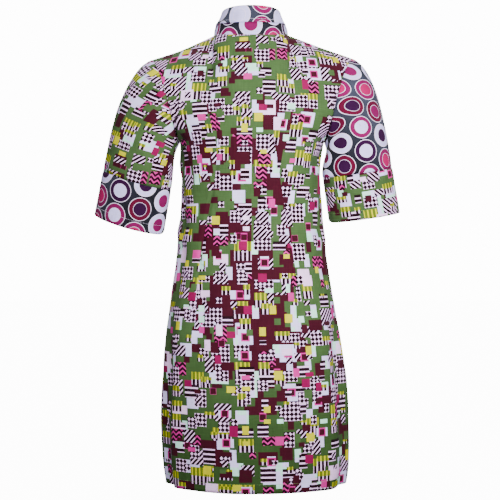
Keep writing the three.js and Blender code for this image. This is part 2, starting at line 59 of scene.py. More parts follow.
# shape of the garment, in millimetres, as the solids have it
body = {
    "hem": -866, "armpit": -212, "neckHalf": 72, "neckSway": 2, "neckBack": 66, "neckFront": 62,
    "dropBack": 12, "dropFront": 68, "shoulderHalf": 195, "neckShare": 1 / 3, "fullness": 0.89,
    "overlap": 14, "underlap": 18,
}
shoulders = {1: {"slope": 0.385, "sag": 4}, -1: {"slope": 0.362, "sag": 0.5}}
rings = table(
    "z half back front sway",
    (-866, 174, 130, 126, -8), (-829, 179, 132, 128, -8), (-751, 181, 133, 128, -6),
    (-673, 178, 131, 125, -5), (-595, 171, 125, 121, -2), (-517, 159, 114, 116, 0),
    (-439, 147, 101, 112, 1), (-380, 142, 94, 111, 1), (-322, 137, 92, 117, 1), (-270, 137, 97, 123, 1),
    (-212, 141, 104, 117, 0))
# folds of the body; at is the place across a panel, and drift is how far it moves down the fold
bodyFolds = table(
    "side at drift top foot wide deep",
    (1, 0.8, -0.12, -250, -560, 0.08, -4), (1, 0.74, 0.02, -560, -866, 0.075, -7),
    (1, 0.88, 0, -600, -866, 0.07, 5), (1, 0.6, 0.02, -600, -866, 0.09, 4),
    (1, -0.78, 0.1, -240, -540, 0.08, -4), (1, -0.72, -0.03, -520, -866, 0.08, -7),
    (1, -0.86, 0, -560, -866, 0.07, 4), (1, -0.54, 0, -620, -866, 0.1, 4),
    (1, 0.05, 0.04, -640, -866, 0.16, 3), (-1, 0.62, 0.04, -330, -866, 0.09, -6),
    (-1, 0.8, 0, -480, -866, 0.08, 5), (-1, 0.36, 0.04, -520, -866, 0.1, 4),
    (-1, -0.58, -0.06, -340, -866, 0.09, -6), (-1, -0.78, -0.02, -500, -866, 0.08, 5),
    (-1, -0.34, -0.02, -560, -866, 0.1, 3))
# takeUp is how much cloth each back dart takes away at that height
darts = table(
    "z left right groove takeUp",
    (-866, 0.4, 0.35, 0, 0), (-600, 0.42, 0.345, 0, 0), (-530, 0.43, 0.34, 0.8, 7),
    (-448, 0.44, 0.345, 2.6, 17), (-398, 0.41, 0.31, 3, 23), (-335, 0.36, 0.27, 3, 27),
    (-273, 0.3, 0.22, 2.6, 19), (-212, 0.28, 0.16, 1.8, 10))
# how the cloth leaves the armpit line, up, and comes off the top edge, at each share across
backYoke = table(
    "s upX upY upZ offX offY offZ",
    (0, 0, 6, 74, 0, 22, -46), (0.33, 1, 12, 72, 1, 50, -15), (0.66, 4, 34, 62, -1, 60, -19),
    (0.86, 6, 60, 38, -12, 66, -30), (1, 6, 78, 12, -30, 80, -40))
frontYoke = table(
    "s upX upY upZ offX offY offZ",
    (0, 0, 2, 54, 0, 24, -36), (0.33, 0, 5, 66, 1, 46, -20), (0.66, 3, 24, 60, -3, 56, -22),
    (0.86, 3, 56, 36, -20, 66, -32), (1, 2, 80, 12, -42, 80, -40))
cuffHeight = 88
cuffTaper = 0.975
sleeveShapes = {
    1: dict(hemOuter=(310, -347), hemInner=(173.5, -386), hemDepth=60, hemForward=-22, lean=10.5,
            axis=(0.2, -0.98), under=(16, -22), tip=(53, -25)),
    -1: dict(hemOuter=(290, -345), hemInner=(151, -365), hemDepth=60, hemForward=-14, lean=5,
             axis=(0.165, -0.986), under=(12, -20), tip=(48, -24)),
}
sleeveReach = {"under": 34, "tip": 112, "forward": 10}
sleeveFolds = table(
    "around run wide deep",
    (0.32, 0.3, 0.09, -4), (0.5, 0.35, 0.1, 4), (0.72, 0.22, 0.1, -3), (1.64, 0.3, 0.1, -4),
    (1.4, 0.4, 0.12, 3))
# radius of the turn at the cuff's folds, how far round it reaches, and where down the cuff it starts
cuffCorner = {"inner": 6, "outer": 2, "reach": 58, "start": 1.6}
collar = {
    "foldHalf": 54, "foldBack": 61, "foldFront": 64, "foldTop": 40, "foldFrontZ": -36, "sink": 4,
    "bulge": 2, "wall": 1.5, "rollRadius": 2.5, "rollLift": 2.5, "gap": 0.8, "foldEnd": 170,
    "lapGap": 0.3, "lapFrom": 0.88, "lapTo": 0.96, "rollStart": 0.1, "rollEnd": 0.5,
}
leafEdge = table(
    "turn out z",
    (0, 7.5, 12), (45, 10, 14), (75, 12.5, 19), (95, 16, 18), (112, 25, 4), (130, 33, -24),
    (148, 37, -66))


def clamp(value, low, high):
    return max(low, min(high, value))


def lerp(a, b, t):
    return a + (b - a) * t


def ease(value, low, high):
    t = clamp((value - low) / (high - low), 0, 1)
    return t * t * (3 - 2 * t)


# a smooth rise and fall, 1 in the middle and next to nothing two steps off
def hump(off):
    return math.exp(-off * off)


# a column of a table at a place between its rows, on a smooth curve through them
def along(table, by, at, column):
    last = len(table) - 1
    i = 0
    while i < last - 1 and at > table[i + 1][by]:
        i += 1

    def slope(j):
        before, after = table[max(j - 1, 0)], table[min(j + 1, last)]
        return (after[column] - before[column]) / (after[by] - before[by])

    span = table[i + 1][by] - table[i][by]
    u = clamp((at - table[i][by]) / span, 0, 1)
    turn = u * u * (3 - 2 * u)
    return ((1 - turn) * table[i][column] + turn * table[i + 1][column]
            + span * u * (1 - u) * ((1 - u) * slope(i) - u * slope(i + 1)))


def bezier(a, b, c, d, t):
    r = 1 - t
    return a * (r * r * r) + b * (3 * r * r * t) + c * (3 * r * t * t) + d * (t * t * t)


def foldLift(side, s, z):
    lift = 0
    for fold in bodyFolds:
        if fold["side"] != side:
            continue
        run = clamp((fold["top"] - z) / (fold["top"] - fold["foot"]), 0, 1)
        ending = 1 - ease(run, 0.6, 1) if fold["foot"] > body["hem"] else 1
        off = (s - fold["at"] - fold["drift"] * run) / fold["wide"]
        lift += fold["deep"] * hump(off) * ease(run, 0, 0.4) * ending
    return lift * (1 - s ** 8)


def ringPoint(side, s, z):
    turn = s * math.pi / 2
    lift = foldLift(side, s, z)
    half = along(rings, "z", z, "half") + lift
    deep = along(rings, "z", z, "back" if side > 0 else "front") + lift
    full = body["fullness"]
    return Vector((
        along(rings, "z", z, "sway") + half * math.copysign(abs(math.sin(turn)) ** full, s),
        side * deep * max(math.cos(turn), 0) ** full,
        z))


def neckPoint(turn):
    c = math.cos(turn)
    x = body["neckSway"] + body["neckHalf"] * math.sin(turn)
    if c > 0:
        return Vector((x, body["neckBack"] * c, -body["dropBack"] * c * c))
    return Vector((x, body["neckFront"] * c, -body["dropFront"] * (-c) ** 1.5))


def topPoint(side, s):
    share, neckShare = abs(s), body["neckShare"]
    if share < neckShare:
        turn = s / neckShare * math.pi / 2
        return neckPoint(turn if side > 0 else math.pi - turn)
    sign = 1 if s > 0 else -1
    run = (share - neckShare) / (1 - neckShare)
    line = shoulders[sign]
    drop = line["slope"] * (body["shoulderHalf"] - body["neckHalf"]) * run
    drop += line["sag"] * math.sin(math.pi * run)
    x = lerp(body["neckSway"] + sign * body["neckHalf"], sign * body["shoulderHalf"], run)
    return Vector((x, 0, -drop))


def mirrored(rows):
    return [dict(rows[1], s=-rows[1]["s"])] + rows


yokes = {1: mirrored(backYoke), -1: mirrored(frontYoke)}


# point of a panel: height runs from 0 at the hem to 1 at the armpit and 2 at the top edge
def bodyPoint(side, s, height):
    if height <= 1:
        return ringPoint(side, s, lerp(body["hem"], body["armpit"], height))
    yoke, share = yokes[side], abs(s)
    sign = 1 if s > 0 else -1

    def handle(kind):
        return Vector((sign * along(yoke, "s", share, kind + "X"),
                       side * along(yoke, "s", share, kind + "Y"),
                       along(yoke, "s", share, kind + "Z")))

    foot = ringPoint(side, s, body["armpit"])
    top = topPoint(side, s)
    return bezier(foot, foot + handle("up"), top + handle("off"), top, height - 1)


def placeAt(x, height):
    low, high = -0.5, 0.5
    for _ in range(24):
        middle = (low + high) / 2
        if bodyPoint(-1, middle, height).x < x:
            low = middle
        else:
            high = middle
    return (low + high) / 2


def dartValue(height, column):
    z = lerp(body["hem"], body["armpit"], min(height, 1))
    return along(darts, "z", z, column)


# across runs from -1 to 1 over the back, and this share of it each way lies inside the darts
dartShare = 1 / 3


def backPlace(across, height):
    atDart = dartValue(height, "left" if across > 0 else "right")
    seam = lerp(atDart, body["neckShare"], clamp(height - 1, 0, 1))
    share = abs(across)
    if share <= dartShare:
        place = seam * share / dartShare
    else:
        place = lerp(seam, 1, (share - dartShare) / (1 - dartShare))
    return math.copysign(place, across)


# share of a front's columns in the lap, and of the others up to the corner of the neck
frontShares = {"lap": 0.12, "neck": 3 / 11}
frontEdges = {}


def frontPlace(sign, across, height):
    lap, neck = frontShares["lap"], frontShares["neck"]
    key = (sign, round(height, 5))
    if key not in frontEdges:
        frontEdges[key] = [placeAt(side * sign * body["overlap"], height) for side in (-1, 1)]
    under, inner = frontEdges[key]
    run = (across + 1) / 2
    if run < lap:
        return lerp(under, inner, run / lap)
    run = (run - lap) / (1 - lap)
    corner = lerp(lerp(inner, sign, neck), sign * body["neckShare"], clamp(height - 1, 0, 1))
    if run < neck:
        return lerp(inner, corner, run / neck)
    return lerp(corner, sign, (run - neck) / (1 - neck))


# around runs from 0 at the armpit over the back to 1 at the shoulder and 2 at the armpit again;
# down runs from 0 at the armhole to 1 at the cuff seam and 2 at the cuff's hem
def sleevePoint(sign, around, down):
    shape = sleeveShapes[sign]
    foot = bodyPoint(1, sign, 1 + around) if around <= 1 else bodyPoint(-1, sign, 3 - around)
    turn = around * math.pi
    tipward = (1 - math.cos(turn)) / 2
    lean = math.radians(shape["lean"])
    axis = Vector((sign * shape["axis"][0], -math.sin(lean), shape["axis"][1]))

    def hemSpot(taper):
        reach = 0.5 - 0.5 * taper * math.cos(turn)
        deep = shape["hemDepth"] * taper * math.sin(turn)
        return Vector((sign * lerp(shape["hemInner"][0], shape["hemOuter"][0], reach),
                       shape["hemForward"] + deep * math.cos(lean),
                       lerp(shape["hemInner"][1], shape["hemOuter"][1], reach) - deep * math.sin(lean)))

    top = hemSpot(cuffTaper) - axis * cuffHeight
    if down > 1:
        radius = cuffCorner["inner" if math.cos(turn) > 0 else "outer"]
        fromFold = min(cuffCorner["reach"] * (1 - abs(math.cos(turn))), radius)
        corner = radius - math.sqrt(radius ** 2 - (radius - fromFold) ** 2)
        return top.lerp(hemSpot(1), down - 1) - axis * corner * ease(down, cuffCorner["start"], 2)
    leave = Vector((sign * lerp(shape["under"][0], shape["tip"][0], tipward),
                    sleeveReach["forward"] * math.sin(turn),
                    lerp(shape["under"][1], shape["tip"][1], tipward)))
    reach = lerp(sleeveReach["under"], sleeveReach["tip"], tipward)
    point = bezier(foot, foot + leave, top - axis * reach, top, down)
    lift = 0
    for fold in sleeveFolds:
        off = (around - fold["around"]) / fold["wide"]
        swell = ease(down, 0, fold["run"]) * (1 - ease(down, fold["run"], 1))
        lift += fold["deep"] * hump(off) * swell
    return point + Vector((-sign * math.cos(turn), math.sin(turn), 0)) * lift


def foldPoint(turn):
    c = math.cos(turn)
    sink = ((1 - c) / 2) ** collar["sink"]
    depth = collar["foldBack"] if c > 0 else collar["foldFront"]
    x = body["neckSway"] + collar["foldHalf"] * math.sin(turn)
    return Vector((x, depth * c, lerp(collar["foldTop"], collar["foldFrontZ"], sink)))


def neckAway(turn):
    return Vector((math.sin(turn), math.cos(turn), 0))


def standPoint(turn, rise):
    lapped = ease(turn, collar["lapFrom"] * math.pi, collar["lapTo"] * math.pi)
    under = (collar["wall"] + collar["lapGap"]) * lapped
    bulge = collar["bulge"] * math.sin(math.pi * rise)
    return neckPoint(turn).lerp(foldPoint(turn), rise) + neckAway(turn) * (bulge - under)


# step runs over the leaf from the stand, 0, round the roll to its edge, 1
def leafPoint(share, step):
    start, end = collar["rollStart"], collar["rollEnd"]
    down = clamp((step - end) / (1 - end), 0, 1)
    turn = math.radians(share * lerp(collar["foldEnd"], leafEdge[-1]["turn"], down))
    edgeTurn = abs(share) * leafEdge[-1]["turn"]
    drop = foldPoint(math.radians(edgeTurn)).z - along(leafEdge, "turn", edgeTurn, "z")
    edgeOut = along(leafEdge, "turn", edgeTurn, "out")
    radius, lift = collar["rollRadius"], collar["rollLift"]
    middle = radius - collar["wall"] / 2
    if step < start:
        out, up = -collar["wall"] / 2, lerp(collar["gap"], lift, step / start)
    elif step < end:
        roll = math.pi * (1 - (step - start) / (end - start))
        out, up = middle + radius * math.cos(roll), lift + radius * math.sin(roll)
    else:
        out, up = lerp(middle + radius, edgeOut, down), lerp(lift, -drop, down)
    return foldPoint(turn) + neckAway(turn) * out + Vector((0, 0, up))


print("shape functions ready")

# a crease starts before its run and dies out after it; t is 0 and 1 at the ends of the run
creaseRun = {"gain": 1.35, "start": -0.2, "full": 0.25, "fall": 0.6, "end": 1.2}


# height of the creases at a place on the flat cloth; each is a trough or a ridge along one run
def creaseLift(creases, spot):
    lift, run = 0, creaseRun
    for x, y, endX, endY, wide, deep, bend in creases:
        start, way = Vector((x, y)), Vector((endX - x, endY - y))
        t = (spot - start).dot(way) / way.length_squared
        if not run["start"] < t < run["end"]:
            continue
        across = (spot - start).cross(way) / way.length - bend * math.sin(math.pi * clamp(t, 0, 1))
        fade = ease(t, run["start"], run["full"]) * (1 - ease(t, run["fall"], run["end"]))
        lift += deep * hump(across / wide) * fade
    return lift * run["gain"]


# distance gone at each point of a line
def travel(line):
    gone = [0.0]
    for a, b in zip(line, line[1:]):
        gone.append(gone[-1] + (b - a).length)
    return gone


# where the grid point at (row, column) lies on the flat cloth, from two that are laid already
def meet(points, flat, at, a, b, turn):
    point, start = points[at[0]][at[1]], flat[a[0]][a[1]]
    fromA, fromB = (point - points[a[0]][a[1]]).length, (point - points[b[0]][b[1]]).length
    span = flat[b[0]][b[1]] - start
    gap = max(span.length, 1e-6)
    reach = (fromA ** 2 - fromB ** 2 + gap ** 2) / (2 * gap)
    off = math.sqrt(max(fromA ** 2 - reach ** 2, 0))
    return start + span * (reach / gap) + Vector((-span.y, span.x)) * (off * turn / gap)


# lays row j flat over the row below it, from the middle column outwards, triangle by triangle
def unfoldRow(points, flat, j, middle):
    wide = len(points[j])
    tries = [meet(points, flat, (j, middle), (j - 1, middle), (j - 1, middle + step), step)
             for step in (-1, 1) if 0 <= middle + step < wide]
    flat[j][middle] = sum(tries, Vector((0, 0))) / len(tries)
    for step, stop in ((1, wide), (-1, -1)):
        for i in range(middle + step, stop, step):
            low, lowBack, back = (j - 1, i), (j - 1, i - step), (j, i - step)
            pairs = ((lowBack, low, step), (lowBack, back, -step), (low, back, -step))
            flat[j][i] = sum((meet(points, flat, (j, i), *pair) for pair in pairs), Vector((0, 0))) / 3


# lays the first strip of a cloth that fans out, so that its edge bends as the cut does
def unfoldFirst(points, flat, middle):
    flat[0][middle] = Vector((0, 0))
    flat[1][middle] = Vector((0, (points[1][middle] - points[0][middle]).length))
    for step, stop in ((1, len(flat[0])), (-1, -1)):
        for i in range(middle + step, stop, step):
            was = i - step
            flat[0][i] = meet(points, flat, (0, i), (0, was), (1, was), -step)
            flat[1][i] = meet(points, flat, (1, i), (0, i), (1, was), -step)


# evens out the stretch that is left, with every thread of the net pulled towards its own length
def settle(points, flat, held, rounds):
    wide = len(flat[0])
    xs, ys = [p.x for row in flat for p in row], [p.y for row in flat for p in row]
    threads = []
    for j in range(max(held - 1, 0), len(flat)):
        for i in range(wide):
            for up, over in ((0, 1), (1, 0), (1, 1), (1, -1)):
                if j + up < len(flat) and 0 <= i + over < wide:
                    rest = (points[j + up][i + over] - points[j][i]).length
                    threads.append((j * wide + i, (j + up) * wide + i + over, rest))
    for _ in range(rounds):
        for a, b, rest in threads:
            x, y = xs[b] - xs[a], ys[b] - ys[a]
            pull = 0.5 * (1 - rest / max(math.hypot(x, y), 1e-6))
            if a >= held * wide:
                xs[a] += x * pull
                ys[a] += y * pull
            if b >= held * wide:
                xs[b] -= x * pull
                ys[b] -= y * pull
    return [[Vector((xs[j * wide + i], ys[j * wide + i])) for i in range(wide)] for j in range(len(flat))]


settleRounds = 24


# lays a cloth flat by its own measures: straight rows up to the level, unfolded ones above it
def flatten(points, middle, levelRow, fan):
    flat = [[None] * len(row) for row in points]
    climb = travel([row[middle] for row in points])
    for j, row in enumerate(points[:levelRow + 1]):
        gone = travel(row)
        flat[j] = [Vector((x - gone[middle], climb[j] - climb[levelRow])) for x in gone]
    if fan:
        unfoldFirst(points, flat, middle)
        levelRow = 1
    for j in range(levelRow + 1, len(points)):
        unfoldRow(points, flat, j, middle)
    if levelRow < len(points) - 1:
        flat = settle(points, flat, 0 if fan else levelRow + 1, settleRounds)
    return flat


ripples = {"long": 0.012, "around": 1.6, "fine": 0.045, "fineShare": 0.4}
surfaces = {}


# Builds a sheet of cloth. spotAt(across, up) gives a point for across -1..1 and up 0..1, and the
# print lies on flat measures taken along the cloth itself, from the middle and from the level.
def layCloth(name, cut, spotAt, jump=None, level=0, closed=False):
    bm = bmesh.new()
    bmesh.ops.create_grid(bm, x_segments=cut["columns"], y_segments=cut["rows"], size=1)
    layer = bm.loops.layers.uv.new("cloth")
    weights = bm.verts.layers.deform.verify()
    last = cut["columns"]
    verts = sorted(bm.verts, key=lambda v: (round(v.co.y, 5), v.co.x))
    rows = [verts[i:i + last + 1] for i in range(0, len(verts), last + 1)]
    params = [[(v.co.x, (v.co.y + 1) / 2) for v in row] for row in rows]
    points = [[spotAt(*p) for p in row] for row in params]
    levelRow = min(range(len(rows)), key=lambda j: abs(params[j][0][1] - level))
    flat = flatten(points, last // 2 if cut.get("middle", True) else 0, levelRow, cut.get("fan"))
    rise = list(zip(*[travel(column) for column in zip(*points)]))

    sign = -1 if cut.get("flip") else 1
    for j, row in enumerate(rows):
        above, below = points[min(j + 1, len(rows) - 1)], points[max(j - 1, 0)]
        for i, vert in enumerate(row):
            point, spot = points[j][i], flat[j][i]
            left = i - 1 if i else (last - 1 if closed else 0)
            right = i + 1 if i < last else (1 if closed else last)
            normal = (points[j][right] - points[j][left]).cross(above[i] - below[i]).normalized() * sign
            grain, around = point * ripples["long"], ripples["around"]
            ripple = noise.noise(Vector((grain.x * around, grain.y * around, grain.z)))
            ripple += ripples["fineShare"] * noise.noise(point * ripples["fine"])
            lift = creaseLift(cut.get("creases", []), spot) + cut["ripple"] * ripple
            if "sink" in cut:
                lift -= cut["sink"](point, params[j][i], spot, flat[j], rise[j][i])
            vert.co = point + normal * lift
            # a turned hem is two layers thick
            vert[weights][0] = 1 if rise[j][i] < cut.get("hemTurn", -1) else 0.5
    laid = [[v.co.copy() for v in row] for row in rows]
    bmesh.ops.scale(bm, vec=(mm, mm, mm), verts=bm.verts)

    place = {v: (j, i) for j, row in enumerate(rows) for i, v in enumerate(row)}
    for face in bm.faces:
        centre = sum(params[j][i][0] for j, i in (place[v] for v in face.verts)) / 4
        for loop in face.loops:
            j, i = place[loop.vert]
            spot = flat[j][i] + Vector(cut["shift"])
            if jump:
                spot.x += jump(centre, params[j][i][1])
            loop[layer].uv = spot * mm
    area = sum(f.calc_area() for f in bm.faces)
    xs, ys = [p.x for row in flat for p in row], [p.y for row in flat for p in row]
    span = (max(xs) - min(xs), max(ys) - min(ys))
    surfaces[name] = {"laid": laid, "sign": sign, "span": span, "area": area}
    print(f"{name}: {span[0]:.0f} x {span[1]:.0f} mm flat, {area:.4f} m2")
    if closed:
        bmesh.ops.remove_doubles(bm, verts=bm.verts, dist=1e-5)
    if cut.get("flip"):
        bmesh.ops.reverse_faces(bm, faces=bm.faces)
    piece = meshObject(name, bm)
    piece.vertex_groups.new(name="layers")
    return piece


def meshObject(name, bm):
    mesh = bpy.data.meshes.new(name)
    bm.to_mesh(mesh)
    bm.free()
    mesh.shade_smooth()
    piece = bpy.data.objects.new(name, mesh)
    bpy.context.collection.objects.link(piece)
    return piece


# gives a piece its material, hangs it from the root body and hides the solid that it replaces, if one is
# named
def claim(piece, material, slot, node=None):
    piece.data.materials.append(material)
    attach(piece, "root")
    if node:
        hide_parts(node)


# gives a sheet its cloth and its wall, which is twice as thick where the hem is turned
def dress(piece, node, slot, material, wall=0.9):
    solid = piece.modifiers.new("wall", "SOLIDIFY")
    solid.thickness = 2 * wall * mm
    solid.vertex_group = "layers"
    solid.offset = -1
    claim(piece, material, slot, node)


def declare(piece):
    laid = surfaces[piece.name]
    wide, long = (v * mm for v in laid["span"])
    min(laid["area"], wide * long)


# how far cloth dips where it is sewn to the next piece
def seamDip(distance, deep=0.9, wide=3.0):
    return deep * hump(distance / wide)


print("cloth builder ready")


# a shader value that can stand in sums: each sign adds a maths node to its tree
class shaderValue:
    def __init__(self, socket):
        self.socket = socket

    def __add__(self, other):
        return calc("ADD", self, other)

    def __sub__(self, other):
        return calc("SUBTRACT", self, other)

    def __mul__(self, other):
        return calc("MULTIPLY", self, other)

    def __truediv__(self, other):
        return calc("DIVIDE", self, other)

    def __gt__(self, other):
        return calc("GREATER_THAN", self, other)

    def __lt__(self, other):
        return calc("LESS_THAN", self, other)


def feed(socket, value):
    if isinstance(value, shaderValue):
        socket.id_data.links.new(value.socket, socket)
    else:
        socket.default_value = value


def feedAll(node, values):
    for label, value in values.items():
        feed(node.inputs[label], value)


# a new node in the tree of the first value that has one, with its sockets fed in their order
def newNode(kind, *values):
    tree = next(v.socket.id_data for v in values if isinstance(v, shaderValue))
    node = tree.nodes.new("ShaderNode" + kind)
    for socket, value in zip(node.inputs, values):
        feed(socket, value)
    return node


def calc(operation, *values, kind="Math"):
    node = newNode(kind, *values)
    node.operation = operation
    return shaderValue(node.outputs["Vector" if kind == "VectorMath" and operation != "LENGTH" else "Value"])


def vectorCalc(operation, *values):
    return calc(operation, *values, kind="VectorMath")


def snap(value, step):
    return calc("SNAP", value, step)


def blend(factor, a, b, mode="MIX"):
    node = newNode("Mix", factor)
    node.data_type = "RGBA"
    node.blend_type = mode
    feed(node.inputs[6], a)
    feed(node.inputs[7], b)
    return shaderValue(node.outputs[2])


def split(vector):
    return [shaderValue(socket) for socket in newNode("SeparateXYZ", vector).outputs]


def join(x, y, z=0.0):
    return shaderValue(newNode("CombineXYZ", x, y, z).outputs[0])


def whiteNoise(vector):
    node = newNode("TexWhiteNoise", vector)
    return shaderValue(node.outputs["Value"]), shaderValue(node.outputs["Color"])


def softNoise(vector, scale, detail=2.0, rough=0.5):
    node = newNode("TexNoise", vector)
    feedAll(node, {"Scale": scale, "Detail": detail, "Roughness": rough})
    return shaderValue(node.outputs["Fac"])


def bands(vector, scale, distortion, direction="X"):
    node = newNode("TexWave", vector)
    node.bands_direction = direction
    feedAll(node, {"Scale": scale, "Distortion": distortion})
    return shaderValue(node.outputs["Fac"])


def bump(height, strength, distance, under=None):
    node = height.socket.id_data.nodes.new("ShaderNodeBump")
    feedAll(node, {"Strength": strength, "Distance": distance, "Height": height})
    if under is not None:
        feed(node.inputs["Normal"], under)
    return shaderValue(node.outputs[0])


def remap(value, fromLow, fromHigh, toLow=0.0, toHigh=1.0):
    return shaderValue(newNode("MapRange", value, fromLow, fromHigh, toLow, toHigh).outputs[0])


# a node group; inputs are numbers with a start value, or vectors where that is None
def newGroup(name, inputs, outputs):
    tree = bpy.data.node_groups.new(name, "ShaderNodeTree")
    for label, value in inputs.items():
        kind = "NodeSocketVector" if value is None else "NodeSocketFloat"
        socket = tree.interface.new_socket(label, in_out="INPUT", socket_type=kind)
        if value is not None:
            socket.default_value = value
    for label, kind in outputs.items():
        tree.interface.new_socket(label, in_out="OUTPUT", socket_type="NodeSocket" + kind)
    given = tree.nodes.new("NodeGroupInput").outputs
    return tree, {label: shaderValue(given[label]) for label in inputs}, tree.nodes.new("NodeGroupOutput")


def useGroup(group, values):
    tree = next(v.socket.id_data for v in values.values() if isinstance(v, shaderValue))
    node = tree.nodes.new("ShaderNodeGroup")
    node.node_tree = group
    feedAll(node, values)
    return {socket.name: shaderValue(socket) for socket in node.outputs}


def shade(code):
    def toLinear(part):
        v = int(part, 16) / 255
        return v / 12.92 if v <= 0.04045 else ((v + 0.055) / 1.055) ** 2.4
    return (toLinear(code[0:2]), toLinear(code[2:4]), toLinear(code[4:6]), 1)


# plain weave with uneven threads
def makeWeave():
    tree, given, out = newGroup("plainWeave", {"Vector": None, "Pitch": 0.0006},
                                {"Height": "Float", "Tint": "Float"})
    x, y, _ = split(given["Vector"])
    turn = calc("DIVIDE", math.pi, given["Pitch"])
    waves = calc("SINE", x * turn) * calc("SINE", y * turn)
    slubs = softNoise(join(x * 0.03, y), 900) + softNoise(join(x, y * 0.03), 900)
    feedAll(out, {"Height": waves * 0.4 + slubs, "Tint": remap(slubs, 0.7, 1.3)})
    return tree


# thin veins where the wax cracked and let the dye in, and soft unevenness of the dye
def makeDye():
    tree, given, out = newGroup("waxDye", {"Vector": None}, {"Vein": "Float", "Uneven": "Float"})
    spot = given["Vector"]
    wander = softNoise(spot, 70, 3)
    cells = newNode("TexVoronoi", vectorCalc("ADD", spot, join(wander * 0.012, wander * 0.02)))
    cells.feature = "DISTANCE_TO_EDGE"
    cells.inputs["Scale"].default_value = 46
    vein = remap(shaderValue(cells.outputs["Distance"]), 0.0, 0.018, 1.0, 0.0)
    patchy = remap(softNoise(spot, 22, 2), 0.5, 0.62)
    feedAll(out, {"Vein": vein * patchy, "Uneven": softNoise(spot, 35, 4, 0.6)})
    return tree


blockStep = 4.0


# one layer of blocks: each cell of a staggered grid may hold one block, in steps of 4 mm
def makeBlockLayer():
    tree, given, out = newGroup(
        "blockLayer", {"Vector": None, "Width": 44.0, "Height": 40.0, "Seed": 1.0, "Presence": 0.8},
        {"Mask": "Float", "Local": "Vector", "Size": "Vector", "Pick": "Float"})
    width, height, seed = given["Width"], given["Height"], given["Seed"]
    x, y, _ = split(given["Vector"])
    column = calc("FLOOR", x / width)
    slide, _ = whiteNoise(join(column, seed))
    y = y + snap(slide * height, blockStep)
    row = calc("FLOOR", y / height)
    pick, tones = whiteNoise(join(column, row, seed))
    r, g, b = split(tones)
    wide = snap(width * remap(r, 0, 1, 0.5, 1.05), blockStep)
    tall = snap(height * remap(g, 0, 1, 0.5, 1.05), blockStep)
    localX = x - column * width - snap((width - wide) * b, blockStep)
    localY = y - row * height
    inside = (localX > 0.0) * (localX < wide) * (localY < tall)
    feedAll(out, {"Mask": inside * (pick < given["Presence"]), "Local": join(localX, localY),
                  "Size": join(wide, tall), "Pick": calc("FRACT", pick * 37.7)})
    return tree


# start is the lowest pick that has the motif; picks below the first start have lozenges
blockMotifs = {"hatching": 0.28, "rungs": 0.4, "chevrons": 0.54, "bars": 0.6, "nested": 0.8, "plain": 0.88}
# the second green is the green ground with painted shade, used towards the hem
blockInks = {
    "green": "3d5630", "shadedGreen": "29401d", "maroon": "390a1a", "lilac": "f2c8fa", "lavender": "d8ccff",
    "mint": "b8f0dc", "night": "19040e", "pink": "c22c88", "crimson": "800a46", "yellow": "c4be08",
    "olive": "5c6c18",
}
blockInk = {name: shade(code) for name, code in blockInks.items()}


# fills of a block: lozenges, diagonal hatching, rungs, chevrons, two-storey bars, nested squares, or plain
def makeBlockFill():
    tree, given, out = newGroup("blockFill", {"Local": None, "Size": None, "Pick": 0.0}, {"Color": "Color"})
    ink, pick = blockInk, given["Pick"]
    x, y, _ = split(given["Local"])
    wide, tall, _ = split(given["Size"])

    def wave(value, pitch):
        return calc("ABSOLUTE", calc("FRACT", value / pitch) - 0.5)

    def lines(value, pitch, share, line="lilac", ground="night"):
        return blend(wave(value, pitch) < share, ink[line], ink[ground])

    fill = blend(wave(x, 8.0) + wave(y, 8.0) < 0.56, ink["lilac"], ink["night"])
    upper = y > tall * 0.5
    fromMiddle = calc("MAXIMUM", calc("ABSOLUTE", x - wide * 0.5), calc("ABSOLUTE", y - tall * 0.5))
    nested = blend(fromMiddle < 8.0, ink["lavender"], ink["pink"])
    motifs = {
        "hatching": lines(x + y, 9.6, 0.32),
        "rungs": lines(y, 9.0, 0.32),
        "chevrons": lines(y + wave(x, 14.0) * 12.0, 9.0, 0.3, "pink"),
        "bars": blend(upper, lines(x, 8.0, 0.32), lines(x, 8.0, 0.32, "yellow", "olive")),
        "nested": blend(fromMiddle < 5.5, nested, ink["maroon"]),
        "plain": blend(pick < 0.92, ink["maroon"], ink["lilac"]),
    }
    for name, start in blockMotifs.items():
        fill = blend(pick > start, fill, motifs[name])
    feed(out.inputs["Color"], fill)
    return tree


# layers of blocks, each with the width and height of its cells in mm
blockLayers = table("Width Height Seed Presence", (44, 36, 1, 0.74), (36, 28, 5, 0.6), (24, 20, 7, 0.3))
smallLayer = {"Width": 28, "Height": 20, "Seed": 9, "Presence": 0.24}
# a field shows where its noise is above this, and a small square where its diagonal is below this
patchLimits = {"maroon": 0.61, "pale": 0.615, "mint": 0.54, "square": 32.0}
smallInks = {"yellow": 0.15, "maroon": 0.35, "pink": 0.55, "green": 0.65, "crimson": 0.85}
